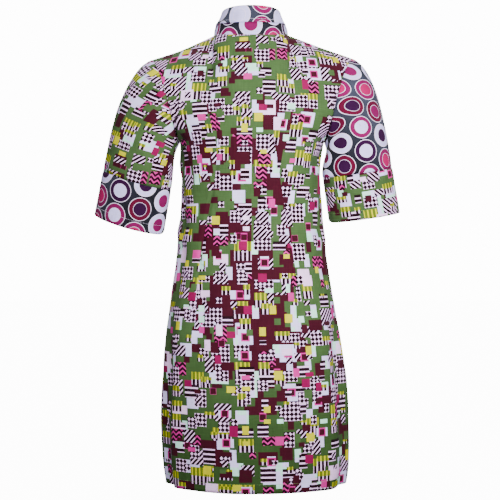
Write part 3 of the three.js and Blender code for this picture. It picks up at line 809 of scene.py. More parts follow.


# block print on a green and maroon ground, with painted shade that darkens the green towards the hem
def makePatchPrintAndShade(blockLayer, blockFill):
    tree, given, out = newGroup("patchPrintAndShade", {"Vector": None}, {"Color": "Color"})
    ink = blockInk
    spot = vectorCalc("MULTIPLY", given["Vector"], (1000, 1000, 1000))
    x, y, _ = split(spot)
    # maroon fields in steps, gathered in the middle below the armpits
    stepX, stepY = snap(x, 20.0), snap(y, 16.0)
    patches = softNoise(join(stepX, stepY), 0.013, 1)
    middle = remap(calc("POWER", (stepX + 18.0) / 95.0, 2.0), 0.0, 1.6, 0.2, 0.0)
    low = calc("MINIMUM", remap(stepY, -90.0, -60.0, 1.0, 0.25), remap(stepY, -520.0, -400.0, -0.2, 1.0))
    # painted shade: the green ground darkens towards the hem, where less light falls
    green = blend(remap(y, -330.0, -600.0, 0.0, 0.75), ink["green"], ink["shadedGreen"])
    cloth = blend(patches + middle * low > patchLimits["maroon"], green, ink["maroon"])
    # pale fields
    pale = softNoise(join(snap(x, 12.0), snap(y, 24.0), 40.0), 0.03, 1)
    tint = softNoise(join(snap(x, 16.0), stepY, 80.0), 0.05, 1)
    paleInk = blend(tint > patchLimits["mint"], ink["lavender"], ink["mint"])
    cloth = blend(pale > patchLimits["pale"], cloth, paleInk)
    for values in blockLayers:
        layer = useGroup(blockLayer, {"Vector": spot, **values})
        fill = useGroup(blockFill, {label: layer[label] for label in ("Local", "Size", "Pick")})
        cloth = blend(layer["Mask"], cloth, fill["Color"])
    # small plain squares on top
    layer = useGroup(blockLayer, {"Vector": spot, **smallLayer})
    small = ink["mint"]
    for name, start in smallInks.items():
        small = blend(layer["Pick"] > start, small, ink[name])
    isSmall = vectorCalc("LENGTH", layer["Size"]) < patchLimits["square"]
    feed(out.inputs["Color"], blend(layer["Mask"] * isSmall, cloth, small))
    return tree


discInks = {
    "lavender": "cec6ff", "rim": "f2e2ff", "pink": "a60f58", "magenta": "74104c", "plum": "2c0830",
    "wine": "560828", "orchid": "9c3c90", "slate": "383b4a", "coal": "17171e",
}
# cell of a disc in mm, the radii of its two rims and fills, and how far the ground takes to change
discs = {"wide": 46.5, "tall": 48.0, "outerRim": 22.5, "outer": 21.3, "innerRim": 13.4, "inner": 12.7,
         "driftX": 52.0, "driftY": 85.0}
# start is the lowest pick that has the pair of inks
discPairs = table(
    "start outer inner",
    (0.1, "plum", "pink"), (0.22, "plum", "lavender"), (0.32, "magenta", "lavender"),
    (0.42, "lavender", "magenta"), (0.52, "wine", "plum"), (0.6, "lavender", "plum"),
    (0.68, "wine", "magenta"), (0.78, "magenta", "pink"), (0.88, "plum", "magenta"),
    (0.95, "orchid", "lavender"))


# ringed discs in staggered rows on a ground that runs from slate to coal; a third input pulls the ground
# towards coal as painted shade
def makeDiscPrint():
    tree, given, out = newGroup("discPrint", {"Vector": None, "Pale": 0.0, "shadeUnderLeaf": 0.0}, {"Color": "Color"})
    ink = {name: shade(code) for name, code in discInks.items()}
    wide, tall = discs["wide"], discs["tall"]
    x, y, _ = split(vectorCalc("MULTIPLY", given["Vector"], (1000, 1000, 1000)))
    column = calc("FLOOR", x / wide)
    y = y + calc("FLOORED_MODULO", column, 2.0) * (tall / 2)
    row = calc("FLOOR", y / tall)
    radius = vectorCalc("LENGTH", join(x - column * wide - wide / 2, y - row * tall - tall / 2))
    pick, tones = whiteNoise(join(column, row, 3.0))
    outer, inner = ink["magenta"], ink["lavender"]
    for pair in discPairs:
        chosen = pick > pair["start"]
        outer, inner = blend(chosen, outer, ink[pair["outer"]]), blend(chosen, inner, ink[pair["inner"]])
    # a pale stretch of the cloth has mostly lavender discs
    isPale = split(tones)[0] < given["Pale"]
    outer, inner = blend(isPale, outer, ink["lavender"]), blend(isPale, inner, ink["lavender"])
    drift = calc("SINE", x / discs["driftX"] + y / discs["driftY"])
    # painted shade: the ground is pulled towards coal by the third input
    cloth = blend(remap(drift, -1.0, 1.0) - given["shadeUnderLeaf"], ink["coal"], ink["slate"])
    fills = {"outerRim": ink["rim"], "outer": outer, "innerRim": ink["rim"], "inner": inner}
    for limit, fill in fills.items():
        cloth = blend(radius < discs[limit], cloth, fill)
    feed(out.inputs["Color"], cloth)
    return tree


weave, dye = makeWeave(), makeDye()
patchPrintAndShade = makePatchPrintAndShade(makeBlockLayer(), makeBlockFill())
discPrint = makeDiscPrint()


def newMaterial(name):
    material = bpy.data.materials.new(name)
    material.use_nodes = True
    return material, material.node_tree, material.node_tree.nodes["Principled BSDF"]


def objectPlace(tree):
    return shaderValue(tree.nodes.new("ShaderNodeTexCoord").outputs["Object"])


# printed cotton: print, dye, weave and a little sheen from the finish
def cottonMaterial(name, printGroup, finish):
    material, tree, shader = newMaterial(name)
    cloth = tree.nodes.new("ShaderNodeUVMap")
    cloth.uv_map = "cloth"
    spot = shaderValue(cloth.outputs[0])
    colour = useGroup(printGroup, {"Vector": spot, **finish.get("print", {})})["Color"]
    threads = useGroup(weave, {"Vector": spot, "Pitch": finish["pitch"]})
    stain = useGroup(dye, {"Vector": spot})
    colour = blend(stain["Vein"] * finish["veins"], colour, shade(finish["veinInk"]))
    uneven = remap(stain["Uneven"], 0.3, 0.7, 0.0, finish["uneven"])
    colour = blend(uneven, colour, shade("3a3a3a"), "MULTIPLY")
    colour = blend(threads["Tint"] * finish["threads"], colour, shade("808080"), "MULTIPLY")
    crumple = softNoise(vectorCalc("MULTIPLY", spot, (1.0, 0.55, 1.0)), 48, 3, 0.55)
    feedAll(shader, {
        "Base Color": colour,
        "Roughness": remap(threads["Tint"], 0, 1, *finish["rough"]),
        "Normal": bump(crumple, 0.35, 0.0012, bump(threads["Height"], 0.25, 0.00012)),
        "Sheen Weight": finish["sheen"], "Sheen Roughness": 0.4, "Specular IOR Level": finish["gloss"]})
    return material


cottonFinish = {
    "pitch": 0.0006, "veins": 0.3, "veinInk": "1c2814", "uneven": 0.2, "threads": 0.3,
    "rough": (0.74, 0.86), "sheen": 0.02, "gloss": 0.06,
}
discFinish = {**cottonFinish, "veinInk": "2a1430"}
blockCotton = cottonMaterial("blockCotton", patchPrintAndShade, cottonFinish)
discCotton = cottonMaterial("discCotton", discPrint, discFinish)
leafCotton = cottonMaterial("leafCotton", discPrint, {**discFinish, "print": {"Pale": 0.7}})
# the stand's ground is darkened as painted shade, for the shade under the leaf
standCotton = cottonMaterial("standCotton", discPrint, {**discFinish, "print": {"shadeUnderLeaf": 0.8}})


# sewing thread: two strands twisted, which shows as slanted ribs
def threadMaterial(name, code):
    material, tree, shader = newMaterial(name)
    place = objectPlace(tree)
    ribs = bands(place, 900, 1.5, "DIAGONAL")
    tone = remap(softNoise(place, 300, 2), 0.3, 0.7)
    feedAll(shader, {"Base Color": blend(tone, shade(code), shade("ffffff"), "SOFT_LIGHT"),
                     "Roughness": remap(ribs, 0, 1, 0.45, 0.65), "Normal": bump(ribs, 0.5, 0.0001)})
    return material


lilacThread = threadMaterial("lilacThread", "c9bcd8")
greenThread = threadMaterial("greenThread", "5c7f42")
wineThread = threadMaterial("wineThread", "6a1b3a")
print("materials ready")

# the body's grid has the armpit at this share of its rows
armpitUp = 0.74


def heightAt(up):
    return up / armpitUp if up <= armpitUp else 1 + (up - armpitUp) / (1 - armpitUp)


# the back; creases are listed as x, y, x, y, wide, deep, bend, on the flat cloth
backCut = {
    "columns": 144, "rows": 150, "flip": True, "ripple": 0.7, "hemTurn": 20, "shift": (0, 0),
    "grooveWide": 4, "dartEnd": 0.3, "long": 1000,
    "creases": [
        (188, -4, 118, -72, 9, -2.2, 6), (196, -30, 132, -96, 10, 1.7, 5),
        (192, -58, 150, -104, 7, -1.5, 3), (160, 62, 108, -8, 13, 1.6, -6),
        (172, 30, 140, -20, 8, -1.3, 4), (70, 196, 150, 150, 15, 1.2, 5),
        (184, -140, 118, -158, 9, -1.7, -4), (188, -168, 124, -190, 11, 1.6, -3),
        (182, -202, 138, -214, 8, -1.4, 2), (98, -262, 116, -430, 15, -2.3, 6),
        (140, -300, 150, -470, 17, 1.9, -6), (196, -330, 180, -520, 14, -2, 4),
        (60, -300, 66, -400, 13, 1.4, 3), (150, -470, 118, -600, 16, -1.6, -8),
        (40, -500, 84, -560, 14, 1.1, 4), (-190, -8, -122, -64, 9, -2, -5),
        (-198, -36, -140, -92, 10, 0.8, -4), (-190, -74, -152, -112, 8, -1.5, 3),
        (-158, 74, -112, 4, 14, 1.5, 5), (-176, 24, -146, -26, 8, -1.2, -4),
        (-66, 200, -140, 162, 14, 1.3, -4), (-186, -148, -112, -170, 10, -1.8, 4),
        (-184, -184, -128, -196, 10, 1.6, 3), (-186, -216, -120, -236, 9, -1.3, -3),
        (-84, -255, -104, -420, 15, -2.1, -6), (-128, -290, -140, -440, 16, 1.8, 5),
        (-190, -320, -176, -540, 15, -1.9, -5), (-50, -310, -58, -420, 13, 1.3, -4),
        (-160, -450, -120, -590, 17, -1.5, 7), (-30, -520, -88, -575, 13, 1, -3),
        (-26, 214, 34, 211, 9, 0.9, 5), (-40, 196, 44, 192, 12, -1, 4), (20, -120, 34, -230, 15, 1, 4),
        (-12, -240, 6, -330, 14, -0.9, 4),
    ],
}
# the body draws in at the wearer's right side, just below the armhole
hollow = {"z": -258, "tall": 34, "from": 96, "to": 128, "deep": 5.0}
# the hem puckers along its stitches
hemPucker = {"up": 0.022, "near": 0.02, "deep": 0.45, "fine": 0.42, "broad": 0.13, "broadY": 0.2}


def backSpot(across, up):
    height = heightAt(up)
    return bodyPoint(1, backPlace(across, height), height)


def dartAt(up, column):
    height = heightAt(up)
    return dartValue(height, column) * (1 - ease(height - 1, 0, backCut["dartEnd"]))


def hemWave(point, up):
    near = hump((up - hemPucker["up"]) / hemPucker["near"])
    swing = math.sin(point.x * hemPucker["broad"] + point.y * hemPucker["broadY"])
    return hemPucker["deep"] * near * math.sin(point.x * hemPucker["fine"]) * swing


# how far the back and the fronts dip at their top seam and side seam, by the hem and at the hollow
def bodySink(point, up, fromSide):
    high = hump((point.z - hollow["z"]) / hollow["tall"])
    drawn = hollow["deep"] * high * ease(-point.x, hollow["from"], hollow["to"])
    return seamDip(fromSide) + seamDip((1 - up) * backCut["long"]) + hemWave(point, up) + drawn


def backSink(point, param, spot, flatRow, rise):
    up = param[1]
    sink = bodySink(point, up, min(flatRow[-1].x - spot.x, spot.x - flatRow[0].x))
    for third in (1, 2):
        column = backCut["columns"] * third // 3
        sink += dartAt(up, "groove") * hump((spot.x - flatRow[column].x) / backCut["grooveWide"])
    return sink


def dartJump(across, up):
    beyond = math.copysign(1, across) if abs(across) > dartShare else 0
    return beyond * dartAt(up, "takeUp")


backCut["sink"] = backSink
backPanel = layCloth("backPanel", backCut, backSpot, jump=dartJump, level=armpitUp)
dress(backPanel, "back", "block_cloth", blockCotton)

# fronts; the left one dips under the right one where they lap
frontCut = {"columns": 78, "rows": 150, "ripple": 0.7, "hemTurn": 20, "middle": False, "under": 1.5}
frontCuts = {
    1: {
        **frontCut, "flip": False, "shift": (31, 12),
        "creases": [
            (212, -6, 150, -62, 9, -2.1, 5), (216, -34, 160, -96, 10, 1.7, 4),
            (208, -66, 168, -106, 8, -1.4, 3), (180, 70, 132, 6, 14, 1.6, -5),
            (192, 28, 160, -24, 8, -1.2, 4), (84, 186, 160, 150, 13, 1.3, 5),
            (206, -142, 128, -160, 10, -1.8, -4), (204, -176, 140, -194, 10, 1.6, -3),
            (200, -210, 130, -226, 9, -1.2, 3), (120, -250, 128, -420, 16, -2.2, 6),
            (168, -280, 178, -450, 16, 1.9, -5), (216, -330, 200, -520, 14, -1.9, 4),
            (76, -280, 84, -400, 14, 1.5, 4), (176, -460, 140, -596, 16, -1.5, -7),
            (70, -500, 110, -560, 14, 1.1, 4), (96, 120, 112, 10, 15, -1.2, 4),
            (60, 60, 74, -60, 14, 1, -4),
        ],
    },
    -1: {
        **frontCut, "flip": True, "shift": (-260, 40),
        "creases": [
            (208, -2, 146, -70, 9, -2.2, 6), (214, -38, 154, -88, 10, 0.7, 5),
            (210, -70, 172, -114, 8, -1.5, 3), (176, 66, 126, 0, 13, 1.5, -6),
            (190, 34, 164, -18, 8, -1.2, 3), (80, 192, 150, 154, 14, 1.2, 4),
            (204, -136, 136, -150, 9, -1.7, -4), (206, -166, 146, -190, 11, 1.7, -3),
            (200, -204, 138, -214, 8, -1.3, 2), (112, -244, 124, -400, 15, -2.1, 5),
            (160, -290, 166, -440, 17, 1.8, -6), (212, -320, 204, -500, 14, -1.8, 5),
            (80, -300, 92, -430, 14, 1.4, 3), (170, -440, 130, -590, 17, -1.6, -8),
            (74, -480, 120, -550, 13, 1.2, 5), (100, 110, 110, 0, 16, -1.1, 3),
            (66, 40, 70, -70, 13, 1, -4),
        ],
    },
}


def makeFront(sign):
    name, node = ("leftFront", "front_left") if sign > 0 else ("rightFront", "front_right")

    def spotAt(across, up):
        height = heightAt(up)
        return bodyPoint(-1, frontPlace(sign, across, height), height)

    def sink(point, param, spot, flatRow, rise):
        lapEnd = body["overlap"] + body["underlap"]
        under = frontCut["under"] * (1 - ease(point.x, body["overlap"], lapEnd)) if sign > 0 else 0
        return under + bodySink(point, param[1], flatRow[-1].x - spot.x)

    piece = layCloth(name, {**frontCuts[sign], "sink": sink}, spotAt, level=armpitUp)
    dress(piece, node, "block_cloth", blockCotton)
    return piece


leftFront, rightFront = makeFront(1), makeFront(-1)

# band down the edge of the right front; it stops just short of the neck
bandCut = {
    "half": 14, "lift": 1.2, "edgeStitch": 5, "columns": 14, "rows": 150, "ripple": 0.7, "shift": (-120, 66),
    "top": 0.996, "places": 300,
}


def bandSpot(across, up):
    height = heightAt(up * bandCut["top"])
    return bodyPoint(-1, placeAt(across * bandCut["half"], height), height)


def bandSink(point, param, spot, flatRow, rise):
    return hemWave(point, param[1]) - bandCut["lift"]


bandCut["sink"] = bandSink
frontBand = layCloth("frontBand", bandCut, bandSpot, level=armpitUp)
dress(frontBand, "front_band", "block_cloth", blockCotton, wall=0.45)

# sleeves and their cuffs; across runs from the armpit over the back, round the shoulder line and back
sleeveCut = {"columns": 88, "rows": 46, "ripple": 0.7, "long": 190, "footDip": (0.8, 4), "topDip": (0.9, 4)}
sleeveCuts = {
    1: {
        **sleeveCut, "flip": True, "shift": (80, 150),
        "creases": [
            (-150, 30, -96, 96, 9, -1.8, 4), (-160, 54, -110, 120, 10, 1.5, -4),
            (-140, 8, -80, 30, 9, 1.3, 4), (-96, 150, -54, 60, 12, 1.4, 6),
            (-60, 190, -34, 110, 10, -1.5, 4), (-24, 206, -14, 130, 11, 1.3, -3),
            (30, 200, 22, 120, 11, -1.4, 3), (70, 180, 46, 90, 12, 1.5, -5),
            (150, 40, 96, 100, 9, -1.7, -4), (158, 62, 112, 124, 10, 1.4, 4), (20, 60, 60, 20, 12, 1, 4),
            (-40, 50, -10, 12, 11, -1, 3),
        ],
    },
    -1: {
        **sleeveCut, "flip": False, "shift": (12, 30),
        "creases": [
            (-148, 26, -100, 90, 9, -1.9, 4), (-158, 50, -104, 112, 10, 1.6, -4),
            (-130, 6, -74, 34, 9, 1.2, 5), (-90, 146, -50, 66, 12, 1.5, 6),
            (-52, 186, -30, 100, 10, -1.4, 5), (-18, 200, -8, 124, 11, 1.2, -3),
            (26, 196, 20, 110, 11, -1.5, 3), (66, 172, 40, 84, 12, 1.4, -5),
            (146, 36, 100, 94, 9, -1.8, -4), (156, 58, 108, 116, 10, 1.5, 4),
            (26, 54, 66, 18, 12, 1.1, 4), (-44, 46, -14, 10, 11, -1.1, 3),
        ],
    },
}
cuffCut = {"columns": 88, "rows": 22, "ripple": 0.6, "hemTurn": 20, "topDip": (0.8, 4)}
cuffCuts = {
    1: {
        **cuffCut, "flip": True, "shift": (6, 6),
        "creases": [
            (-90, 84, -70, 20, 12, -1.2, 4), (60, 80, 84, 12, 13, 1.2, -4), (-20, 88, -34, 30, 10, 0.9, 3),
        ],
    },
    -1: {
        **cuffCut, "flip": False, "shift": (200, 90),
        "creases": [
            (-80, 86, -60, 24, 12, -1.2, 4), (70, 78, 90, 10, 13, 1.3, -4), (-10, 88, -26, 34, 10, 0.9, 3),
        ],
    },
}
cuffPucker = {"up": 0.22, "near": 0.16, "deep": 0.4, "fine": 0.45, "broad": 0.11}


def sleeveSink(point, param, spot, flatRow, rise):
    foot, top = param[1] * sleeveCut["long"], (1 - param[1]) * sleeveCut["long"]
    return seamDip(foot, *sleeveCut["footDip"]) + seamDip(top, *sleeveCut["topDip"])


def cuffSink(point, param, spot, flatRow, rise):
    near = hump((param[1] - cuffPucker["up"]) / cuffPucker["near"])
    swing = math.sin(spot.x * cuffPucker["fine"]) * math.sin(spot.x * cuffPucker["broad"])
    return seamDip((1 - param[1]) * cuffHeight, *cuffCut["topDip"]) + cuffPucker["deep"] * near * swing


# the upper sleeve and then its cuff, each in the other's print on the right side
def makeSleeve(sign):
    side = "left" if sign > 0 else "right"
    prints = [("block_cloth", blockCotton), ("disc_cloth", discCotton)][::sign]
    made = []
    for part, cuts, sink in (("sleeve", sleeveCuts, sleeveSink), ("cuff", cuffCuts, cuffSink)):
        foot = len(made) + 1
        piece = layCloth(side + part.capitalize(), {**cuts[sign], "sink": sink},
                         lambda across, up: sleevePoint(sign, across + 1, foot - up), closed=True)
        dress(piece, part + "_" + side, *prints[len(made)])
        made.append(piece)
    return made


leftSleeve, leftCuff = makeSleeve(1)
rightSleeve, rightCuff = makeSleeve(-1)

# collar: a stand whose ends lap and whose foot goes under the neck seam, and a leaf that falls from it
standCut = {
    "columns": 168, "rows": 16, "flip": True, "ripple": 0.25, "shift": (23, 45), "lap": 0.105, "fan": True,
    "under": 0.14,
}
leafCut = {
    "columns": 150, "rows": 40, "flip": True, "ripple": 0.3, "shift": (0, 9), "edgeStitch": 6, "fan": True,
    "stitchDip": 0.3, "dipWide": 3, "swing": 0.4,
    "creases": [(-60, 4, -48, 26, 9, 0.8, 2), (40, 2, 30, 24, 10, -0.7, 2), (100, 6, 92, 30, 9, 0.8, 2),
                (-118, 4, -104, 34, 9, -0.8, 2)],
}


def standSpot(across, up):
    return standPoint(across * math.pi * (1 + standCut["lap"] / math.pi), lerp(-standCut["under"], 1, up))


def leafSpot(across, up):
    return leafPoint(across, 1 - up)


def leafSink(point, param, spot, flatRow, rise):
    line, swing = hump((rise - leafCut["edgeStitch"]) / leafCut["dipWide"]), leafCut["swing"]
    return leafCut["stitchDip"] * line * (1 - swing + swing * math.sin(spot.x * 0.5))


leafCut["sink"] = leafSink
collarStand = layCloth("collarStand", standCut, standSpot)
collarLeaf = layCloth("collarLeaf", leafCut, leafSpot)
dress(collarStand, "collar_stand", "disc_cloth", standCotton, wall=1.2)
dress(collarLeaf, "collar_leaf", "disc_cloth", leafCotton, wall=1.2)
print("cloth laid")


# point and normal on a laid cloth
def onCloth(name, across, up, lift=0.0):
    laid, sign = surfaces[name]["laid"], surfaces[name]["sign"]
    x = clamp((across + 1) / 2 * (len(laid[0]) - 1), 0, len(laid[0]) - 1.001)
    y = clamp(up * (len(laid) - 1), 0, len(laid) - 1.001)
    i, j = int(x), int(y)
    a, b, c, d = laid[j][i], laid[j][i + 1], laid[j + 1][i], laid[j + 1][i + 1]
    normal = (b - a).lerp(d - c, y - j).cross((c - a).lerp(d - b, x - i)).normalized() * sign
    return a.lerp(b, x - i).lerp(c.lerp(d, x - i), y - j) + normal * lift, normal


stitch = {"length": 2.3, "pitch": 3.0, "wide": 0.5, "high": 0.45, "lift": 0.1, "batch": 40}


def stitchAt(spot, way, normal, length, wide=stitch["wide"], high=stitch["high"]):
    x = way.normalized()
    z = (normal - x * normal.dot(x)).normalized()
    turn = Matrix((x * length, z.cross(x) * wide, z * high)).transposed().to_4x4()
    return Matrix.Translation(spot) @ turn


# a row of stitches along a line of (across, up) places
def sewLine(cloth, places):
    spots = [onCloth(cloth, across, up, stitch["lift"]) for across, up in places]
    travelled, due, made = 0.0, stitch["pitch"] / 2, []
    for (p, normal), (q, _) in zip(spots, spots[1:]):
        span = (q - p).length
        while due <= travelled + span:
            made.append(stitchAt(p.lerp(q, (due - travelled) / span), q - p, normal, stitch["length"]))
            due += stitch["pitch"]
        travelled += span
    return made


# all the stitches of one piece, made in small batches and then joined
def finishSewing(name, stitches, thread, slot):
    whole = bmesh.new()
    batch = bpy.data.meshes.new("batch")
    for start in range(0, len(stitches), stitch["batch"]):
        bm = bmesh.new()
        for place in stitches[start:start + stitch["batch"]]:
            bmesh.ops.create_uvsphere(bm, u_segments=6, v_segments=4, radius=0.5, matrix=place)
        bm.to_mesh(batch)
        bm.free()
        whole.from_mesh(batch)
    bpy.data.meshes.remove(batch)
    bmesh.ops.scale(whole, vec=(mm, mm, mm), verts=whole.verts)
    piece = meshObject(name, whole)
    claim(piece, thread, slot)
    return piece


# share of a cloth's column or row at which a distance along it is reached
def shareFor(line, distance):
    gone = travel(line)
    for k in range(1, len(line)):
        if gone[k] >= distance:
            return (k - 1 + (distance - gone[k - 1]) / (gone[k] - gone[k - 1])) / (len(line) - 1)
    return 1


def acrossFor(cloth, row, distance):
    return shareFor(surfaces[cloth]["laid"][row], distance) * 2 - 1


# places (across, up) at one distance above a cloth's lower edge
def levelLine(cloth, distance, start=-1, end=1, steps=160):
    laid = surfaces[cloth]["laid"]
    last = len(laid[0]) - 1
    places = []
    for k in range(steps + 1):
        across = lerp(start, end, k / steps)
        column = min(round((across + 1) / 2 * last), last)
        places.append((across, shareFor([row[column] for row in laid], distance)))
    return places


hemStitch = 18
for cloth, thread, slot, start in (
        ("backPanel", greenThread, "block_cloth", -1), ("leftFront", greenThread, "block_cloth", -0.72),
        ("rightFront", greenThread, "block_cloth", -0.74), ("leftCuff", lilacThread, "disc_cloth", -1),
        ("rightCuff", greenThread, "block_cloth", -1)):
    sewing = sewLine(cloth, levelLine(cloth, hemStitch, start))
    finishSewing(cloth + "Hem", sewing, thread, slot)

# the leaf is stitched round its three free edges, and the stand along its foot
leafRows = {"first": 4, "last": 22, "count": 28}
standStitch = {"up": 7.5, "end": 0.96}
inset = leafCut["edgeStitch"]
start = acrossFor("collarLeaf", leafRows["first"], inset)
leafSewing = sewLine("collarLeaf", levelLine("collarLeaf", inset, start, -start))
for sign in (-1, 1):
    edge = []
    for k in range(leafRows["count"]):
        row = round(lerp(leafRows["first"], leafRows["last"], k / (leafRows["count"] - 1)))
        edge.append((-sign * acrossFor("collarLeaf", row, inset), row / leafCut["rows"]))
    leafSewing += sewLine("collarLeaf", edge)
leafStitches = finishSewing("collarLeafStitches", leafSewing, lilacThread, "disc_cloth")
standSewing = sewLine("collarStand", levelLine("collarStand", standStitch["up"], -standStitch["end"],
                                               standStitch["end"]))
standStitches = finishSewing("collarStandStitches", standSewing, wineThread, "disc_cloth")

# the band: a row near each edge, and a worked buttonhole under each button
buttonhole = {"half": 7, "pitch": 0.75, "across": 1.5, "bar": 2.9, "wide": 0.6, "lift": 0.15}
buttons = {
    "radius": 5.75, "thick": 2.2, "plate": 1.3, "back": 0.2, "plateRadius": 3.3, "holeRadius": 0.8,
    "holeSpread": 1.6, "off": 0.25, "segments": 24, "top": -96, "pitch": 92, "count": 8,
}
buttonThread = {
    "bar": {"above": 0.4, "spare": 0.7, "wide": 0.42, "high": 0.4,
            "strands": ((-0.28, 0), (0.28, 0.02), (0, 0.22))},
    "leg": {"below": 0.7, "long": 1.9, "wide": 0.9},
}
bandSewing = []
for side in (-1, 1):
    across = side * (1 - bandCut["edgeStitch"] / bandCut["half"])
    places = [(across, k / bandCut["places"]) for k in range(2, bandCut["places"] - 1)]
    bandSewing += sewLine("frontBand", places)


def bandPlace(z):
    laid = surfaces["frontBand"]["laid"]
    column = len(laid[0]) // 2
    for j in range(1, len(laid)):
        low, high = laid[j - 1][column].z, laid[j][column].z
        if low <= z < high:
            return (j - 1 + (z - low) / (high - low)) / (len(laid) - 1)


# stitches across the slit on both its sides, and a double bar at each end
def workButtonhole(seat, normal, upward, sideways):
    made, half = [], buttonhole["half"]

    def sew(run, side, length, high):
        spot = seat + upward * run + sideways * side
        made.append(stitchAt(spot, sideways, normal, length, buttonhole["wide"], high))

    steps = round(2 * half / buttonhole["pitch"])
    for k in range(steps + 1):
        for side in (-1, 1):
            sew(lerp(-half, half, k / steps), side * buttonhole["across"] / 2, buttonhole["across"], 0.5)
    for end in (-1, 1):
        for shift in (0.4, 0.9):
            sew(end * (half + shift), 0, buttonhole["bar"], 0.6)
    return made


seats = []
for k in range(buttons["count"]):
    up = bandPlace(buttons["top"] - k * buttons["pitch"])
    seat, normal = onCloth("frontBand", 0, up, buttonhole["lift"])
    upward = (onCloth("frontBand", 0, up + 0.01)[0] - onCloth("frontBand", 0, up - 0.01)[0]).normalized()
    sideways = upward.cross(normal).normalized()
    normal = sideways.cross(upward).normalized()
    seats.append((seat, normal, upward))
    bandSewing += workButtonhole(seat, normal, upward, sideways)
bandStitches = finishSewing("frontBandStitches", bandSewing, wineThread, "block_cloth")


# button: a dished plate with four holes inside a turned rim, sewn on with two bars of thread
def makeButton(name, node, seat, normal, upward):
    b = buttons
    bm = bmesh.new()
    bmesh.ops.create_circle(bm, segments=b["segments"], radius=b["plateRadius"], cap_ends=False)
    for k in range(4):
        turn = math.radians(45 + 90 * k)
        place = Matrix.Translation((b["holeSpread"] * math.cos(turn), b["holeSpread"] * math.sin(turn), 0))
        bmesh.ops.create_circle(bm, segments=10, radius=b["holeRadius"], cap_ends=False, matrix=place)
    made = bmesh.ops.triangle_fill(bm, edges=bm.edges, use_beauty=True, use_dissolve=False)
    plate = [f for f in made["geom"] if isinstance(f, bmesh.types.BMFace)]
    bmesh.ops.translate(bm, vec=(0, 0, b["back"]), verts=bm.verts)
    raised = bmesh.ops.extrude_face_region(bm, geom=plate, use_keep_orig=True)["geom"]
    bmesh.ops.translate(bm, vec=(0, 0, b["plate"] - b["back"]),
                        verts=[v for v in raised if isinstance(v, bmesh.types.BMVert)])
    outer = [f for f in bm.faces
             if abs(f.normal.z) < 0.5 and f.calc_center_median().xy.length > b["plateRadius"] - 0.2]
    bmesh.ops.delete(bm, geom=outer, context="FACES")

    r, h = b["radius"], b["thick"]
    profile = [(b["plateRadius"], b["plate"]), (3.9, b["plate"] + 0.25), (4.3, h - 0.12), (4.8, h),
               (5.3, h - 0.1), (r - 0.1, h - 0.55), (r, h - 1.1), (r - 0.25, 0.55), (4.9, 0.12), (3.9, 0),
               (b["plateRadius"], b["back"])]
    line = [bm.verts.new((x, 0, z)) for x, z in profile]
    edges = [bm.edges.new(pair) for pair in zip(line, line[1:])]
    bmesh.ops.spin(bm, geom=line + edges, cent=(0, 0, 0), axis=(0, 0, 1), dvec=(0, 0, 0), angle=2 * math.pi,
                   steps=b["segments"], use_merge=True, use_normal_flip=False, use_duplicate=False)
    bmesh.ops.remove_doubles(bm, verts=bm.verts, dist=0.02)
    bmesh.ops.recalc_face_normals(bm, faces=bm.faces)
    x = upward.cross(normal).normalized()
    turn = Matrix((x, upward, normal)).transposed().to_4x4()
    bmesh.ops.transform(bm, matrix=Matrix.Translation(seat + normal * b["off"]) @ turn, verts=bm.verts)
    bmesh.ops.scale(bm, vec=(mm, mm, mm), verts=bm.verts)
    claim(meshObject(name, bm), buttonShell, "button_shell", node)

    # two bars of three strands, and a leg of thread at each hole
    sewing, bar, leg = [], buttonThread["bar"], buttonThread["leg"]
    reach, top = b["holeSpread"] * math.sqrt(0.5), seat + normal * (b["plate"] + bar["above"])
    for side in (-1, 1):
        middle = top + upward * reach * side
        for shift, lift in bar["strands"]:
            spot = middle + upward * shift + normal * lift
            sewing.append(stitchAt(spot, x, normal, 2 * reach + bar["spare"], bar["wide"], bar["high"]))
        for end in (-1, 1):
            spot = middle + x * reach * end - normal * leg["below"]
            sewing.append(stitchAt(spot, normal, x, leg["long"], leg["wide"], leg["wide"]))
    finishSewing(name + "Thread", sewing, wineThread, "button_shell")


def buttonMaterial():
    material, tree, shader = newMaterial("buttonShell")
    place = objectPlace(tree)
    grain, cloud = bands(place, 120, 6), softNoise(place, 260, 3)
    colour = blend(remap(grain, 0.2, 0.9), shade("360f1e"), shade("5a2038"))
    feedAll(shader, {
        "Base Color": blend(remap(cloud, 0.45, 0.75), colour, shade("6a3048")),
        "Roughness": remap(cloud, 0.3, 0.7, 0.34, 0.5), "Normal": bump(grain, 0.2, 0.0001),
        "Coat Weight": 0.12, "Coat Roughness": 0.2, "Specular IOR Level": 0.22})
    return material


buttonShell = buttonMaterial()
for k, seating in enumerate(seats):
    makeButton(f"button{k + 1}", f"button_{k + 1}", *seating)

# the stand's button lies on the lap at the middle of the front
low, high = standPoint(-math.pi, 0.35), standPoint(-math.pi, 0.65)
upward = (high - low).normalized()
normal = Vector((1, 0, 0)).cross(upward).normalized()
makeButton("buttonStand", "button_stand", standPoint(-math.pi, 0.5) + normal * 0.1, normal, upward)
print("sewing and buttons ready")

declare(backPanel)
declare(leftFront)
declare(rightFront)
declare(frontBand)
declare(leftSleeve)
declare(rightSleeve)
declare(leftCuff)
declare(rightCuff)
declare(collarStand)
declare(collarLeaf)

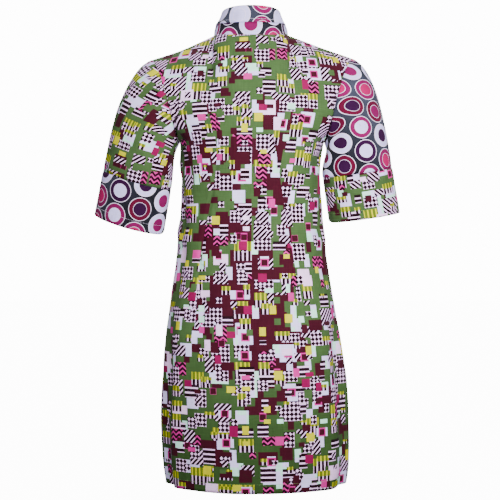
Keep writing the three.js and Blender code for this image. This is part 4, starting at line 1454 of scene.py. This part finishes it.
# plain pale floor and soft light from all round
studio = {
    "floor": -2.4, "floorSize": 40, "glow": 14.0, "floorGlow": 13.2, "sky": 0.24, "aim": (0, 0, -0.2),
    "lamps": table(
        "place watts size",
        ((-0.25, 0.9, -0.2), 24, 0.6), ((-0.5, 1.5, 1.5), 30, 0.9), ((0.8, 2.2, 1.0), 24, 1.2),
        ((0.25, -0.9, -0.2), 24, 0.6), ((0.5, -1.5, 1.5), 30, 0.9), ((-0.8, -2.2, 1.0), 24, 1.2),
        ((2.2, 0.0, 0.4), 16, 1.2), ((-2.2, 0.0, 0.4), 16, 1.2), ((0.0, 0.2, 2.4), 26, 1.4)),
}
white = (1, 1, 1, 1)


# a light's strength: one that only the eye sees, for a white backdrop, and one that lights the cloth
def seenOnly(tree, seen, other):
    ray = shaderValue(tree.nodes.new("ShaderNodeLightPath").outputs["Is Camera Ray"])
    return remap(ray, 0, 1, other, seen)


floorMesh = bmesh.new()
bmesh.ops.create_grid(floorMesh, x_segments=8, y_segments=8, size=studio["floorSize"])
bmesh.ops.translate(floorMesh, vec=(0, 0, studio["floor"]), verts=floorMesh.verts)
studioFloor = meshObject("studioFloor", floorMesh)
floorPaint, floorTree, floorShader = newMaterial("floorPaint")
floorTone = softNoise(objectPlace(floorTree), 3, 3)
feedAll(floorShader, {
    "Base Color": blend(floorTone, shade("a8a8a6"), shade("b4b4b2")), "Roughness": 0.8,
    "Emission Color": white, "Emission Strength": seenOnly(floorTree, studio["floorGlow"], 0.0)})
studioFloor.data.materials.append(floorPaint)

world = bpy.data.worlds.new("studio")
world.use_nodes = True
background = world.node_tree.nodes["Background"]
background.inputs[0].default_value = white
feed(background.inputs[1], seenOnly(world.node_tree, studio["glow"], studio["sky"]))
bpy.context.scene.world = world
for k, lampCut in enumerate(studio["lamps"]):
    lamp = bpy.data.lights.new(f"lamp{k + 1}", "AREA")
    lamp.energy, lamp.size = lampCut["watts"], lampCut["size"]
    lampObject = bpy.data.objects.new(f"lamp{k + 1}", lamp)
    lampObject.location = lampCut["place"]
    lampObject.visible_camera = False
    aim = Vector(studio["aim"]) - Vector(lampCut["place"])
    lampObject.rotation_euler = aim.to_track_quat("-Z", "Y").to_euler()
    bpy.context.collection.objects.link(lampObject)
print("studio ready")
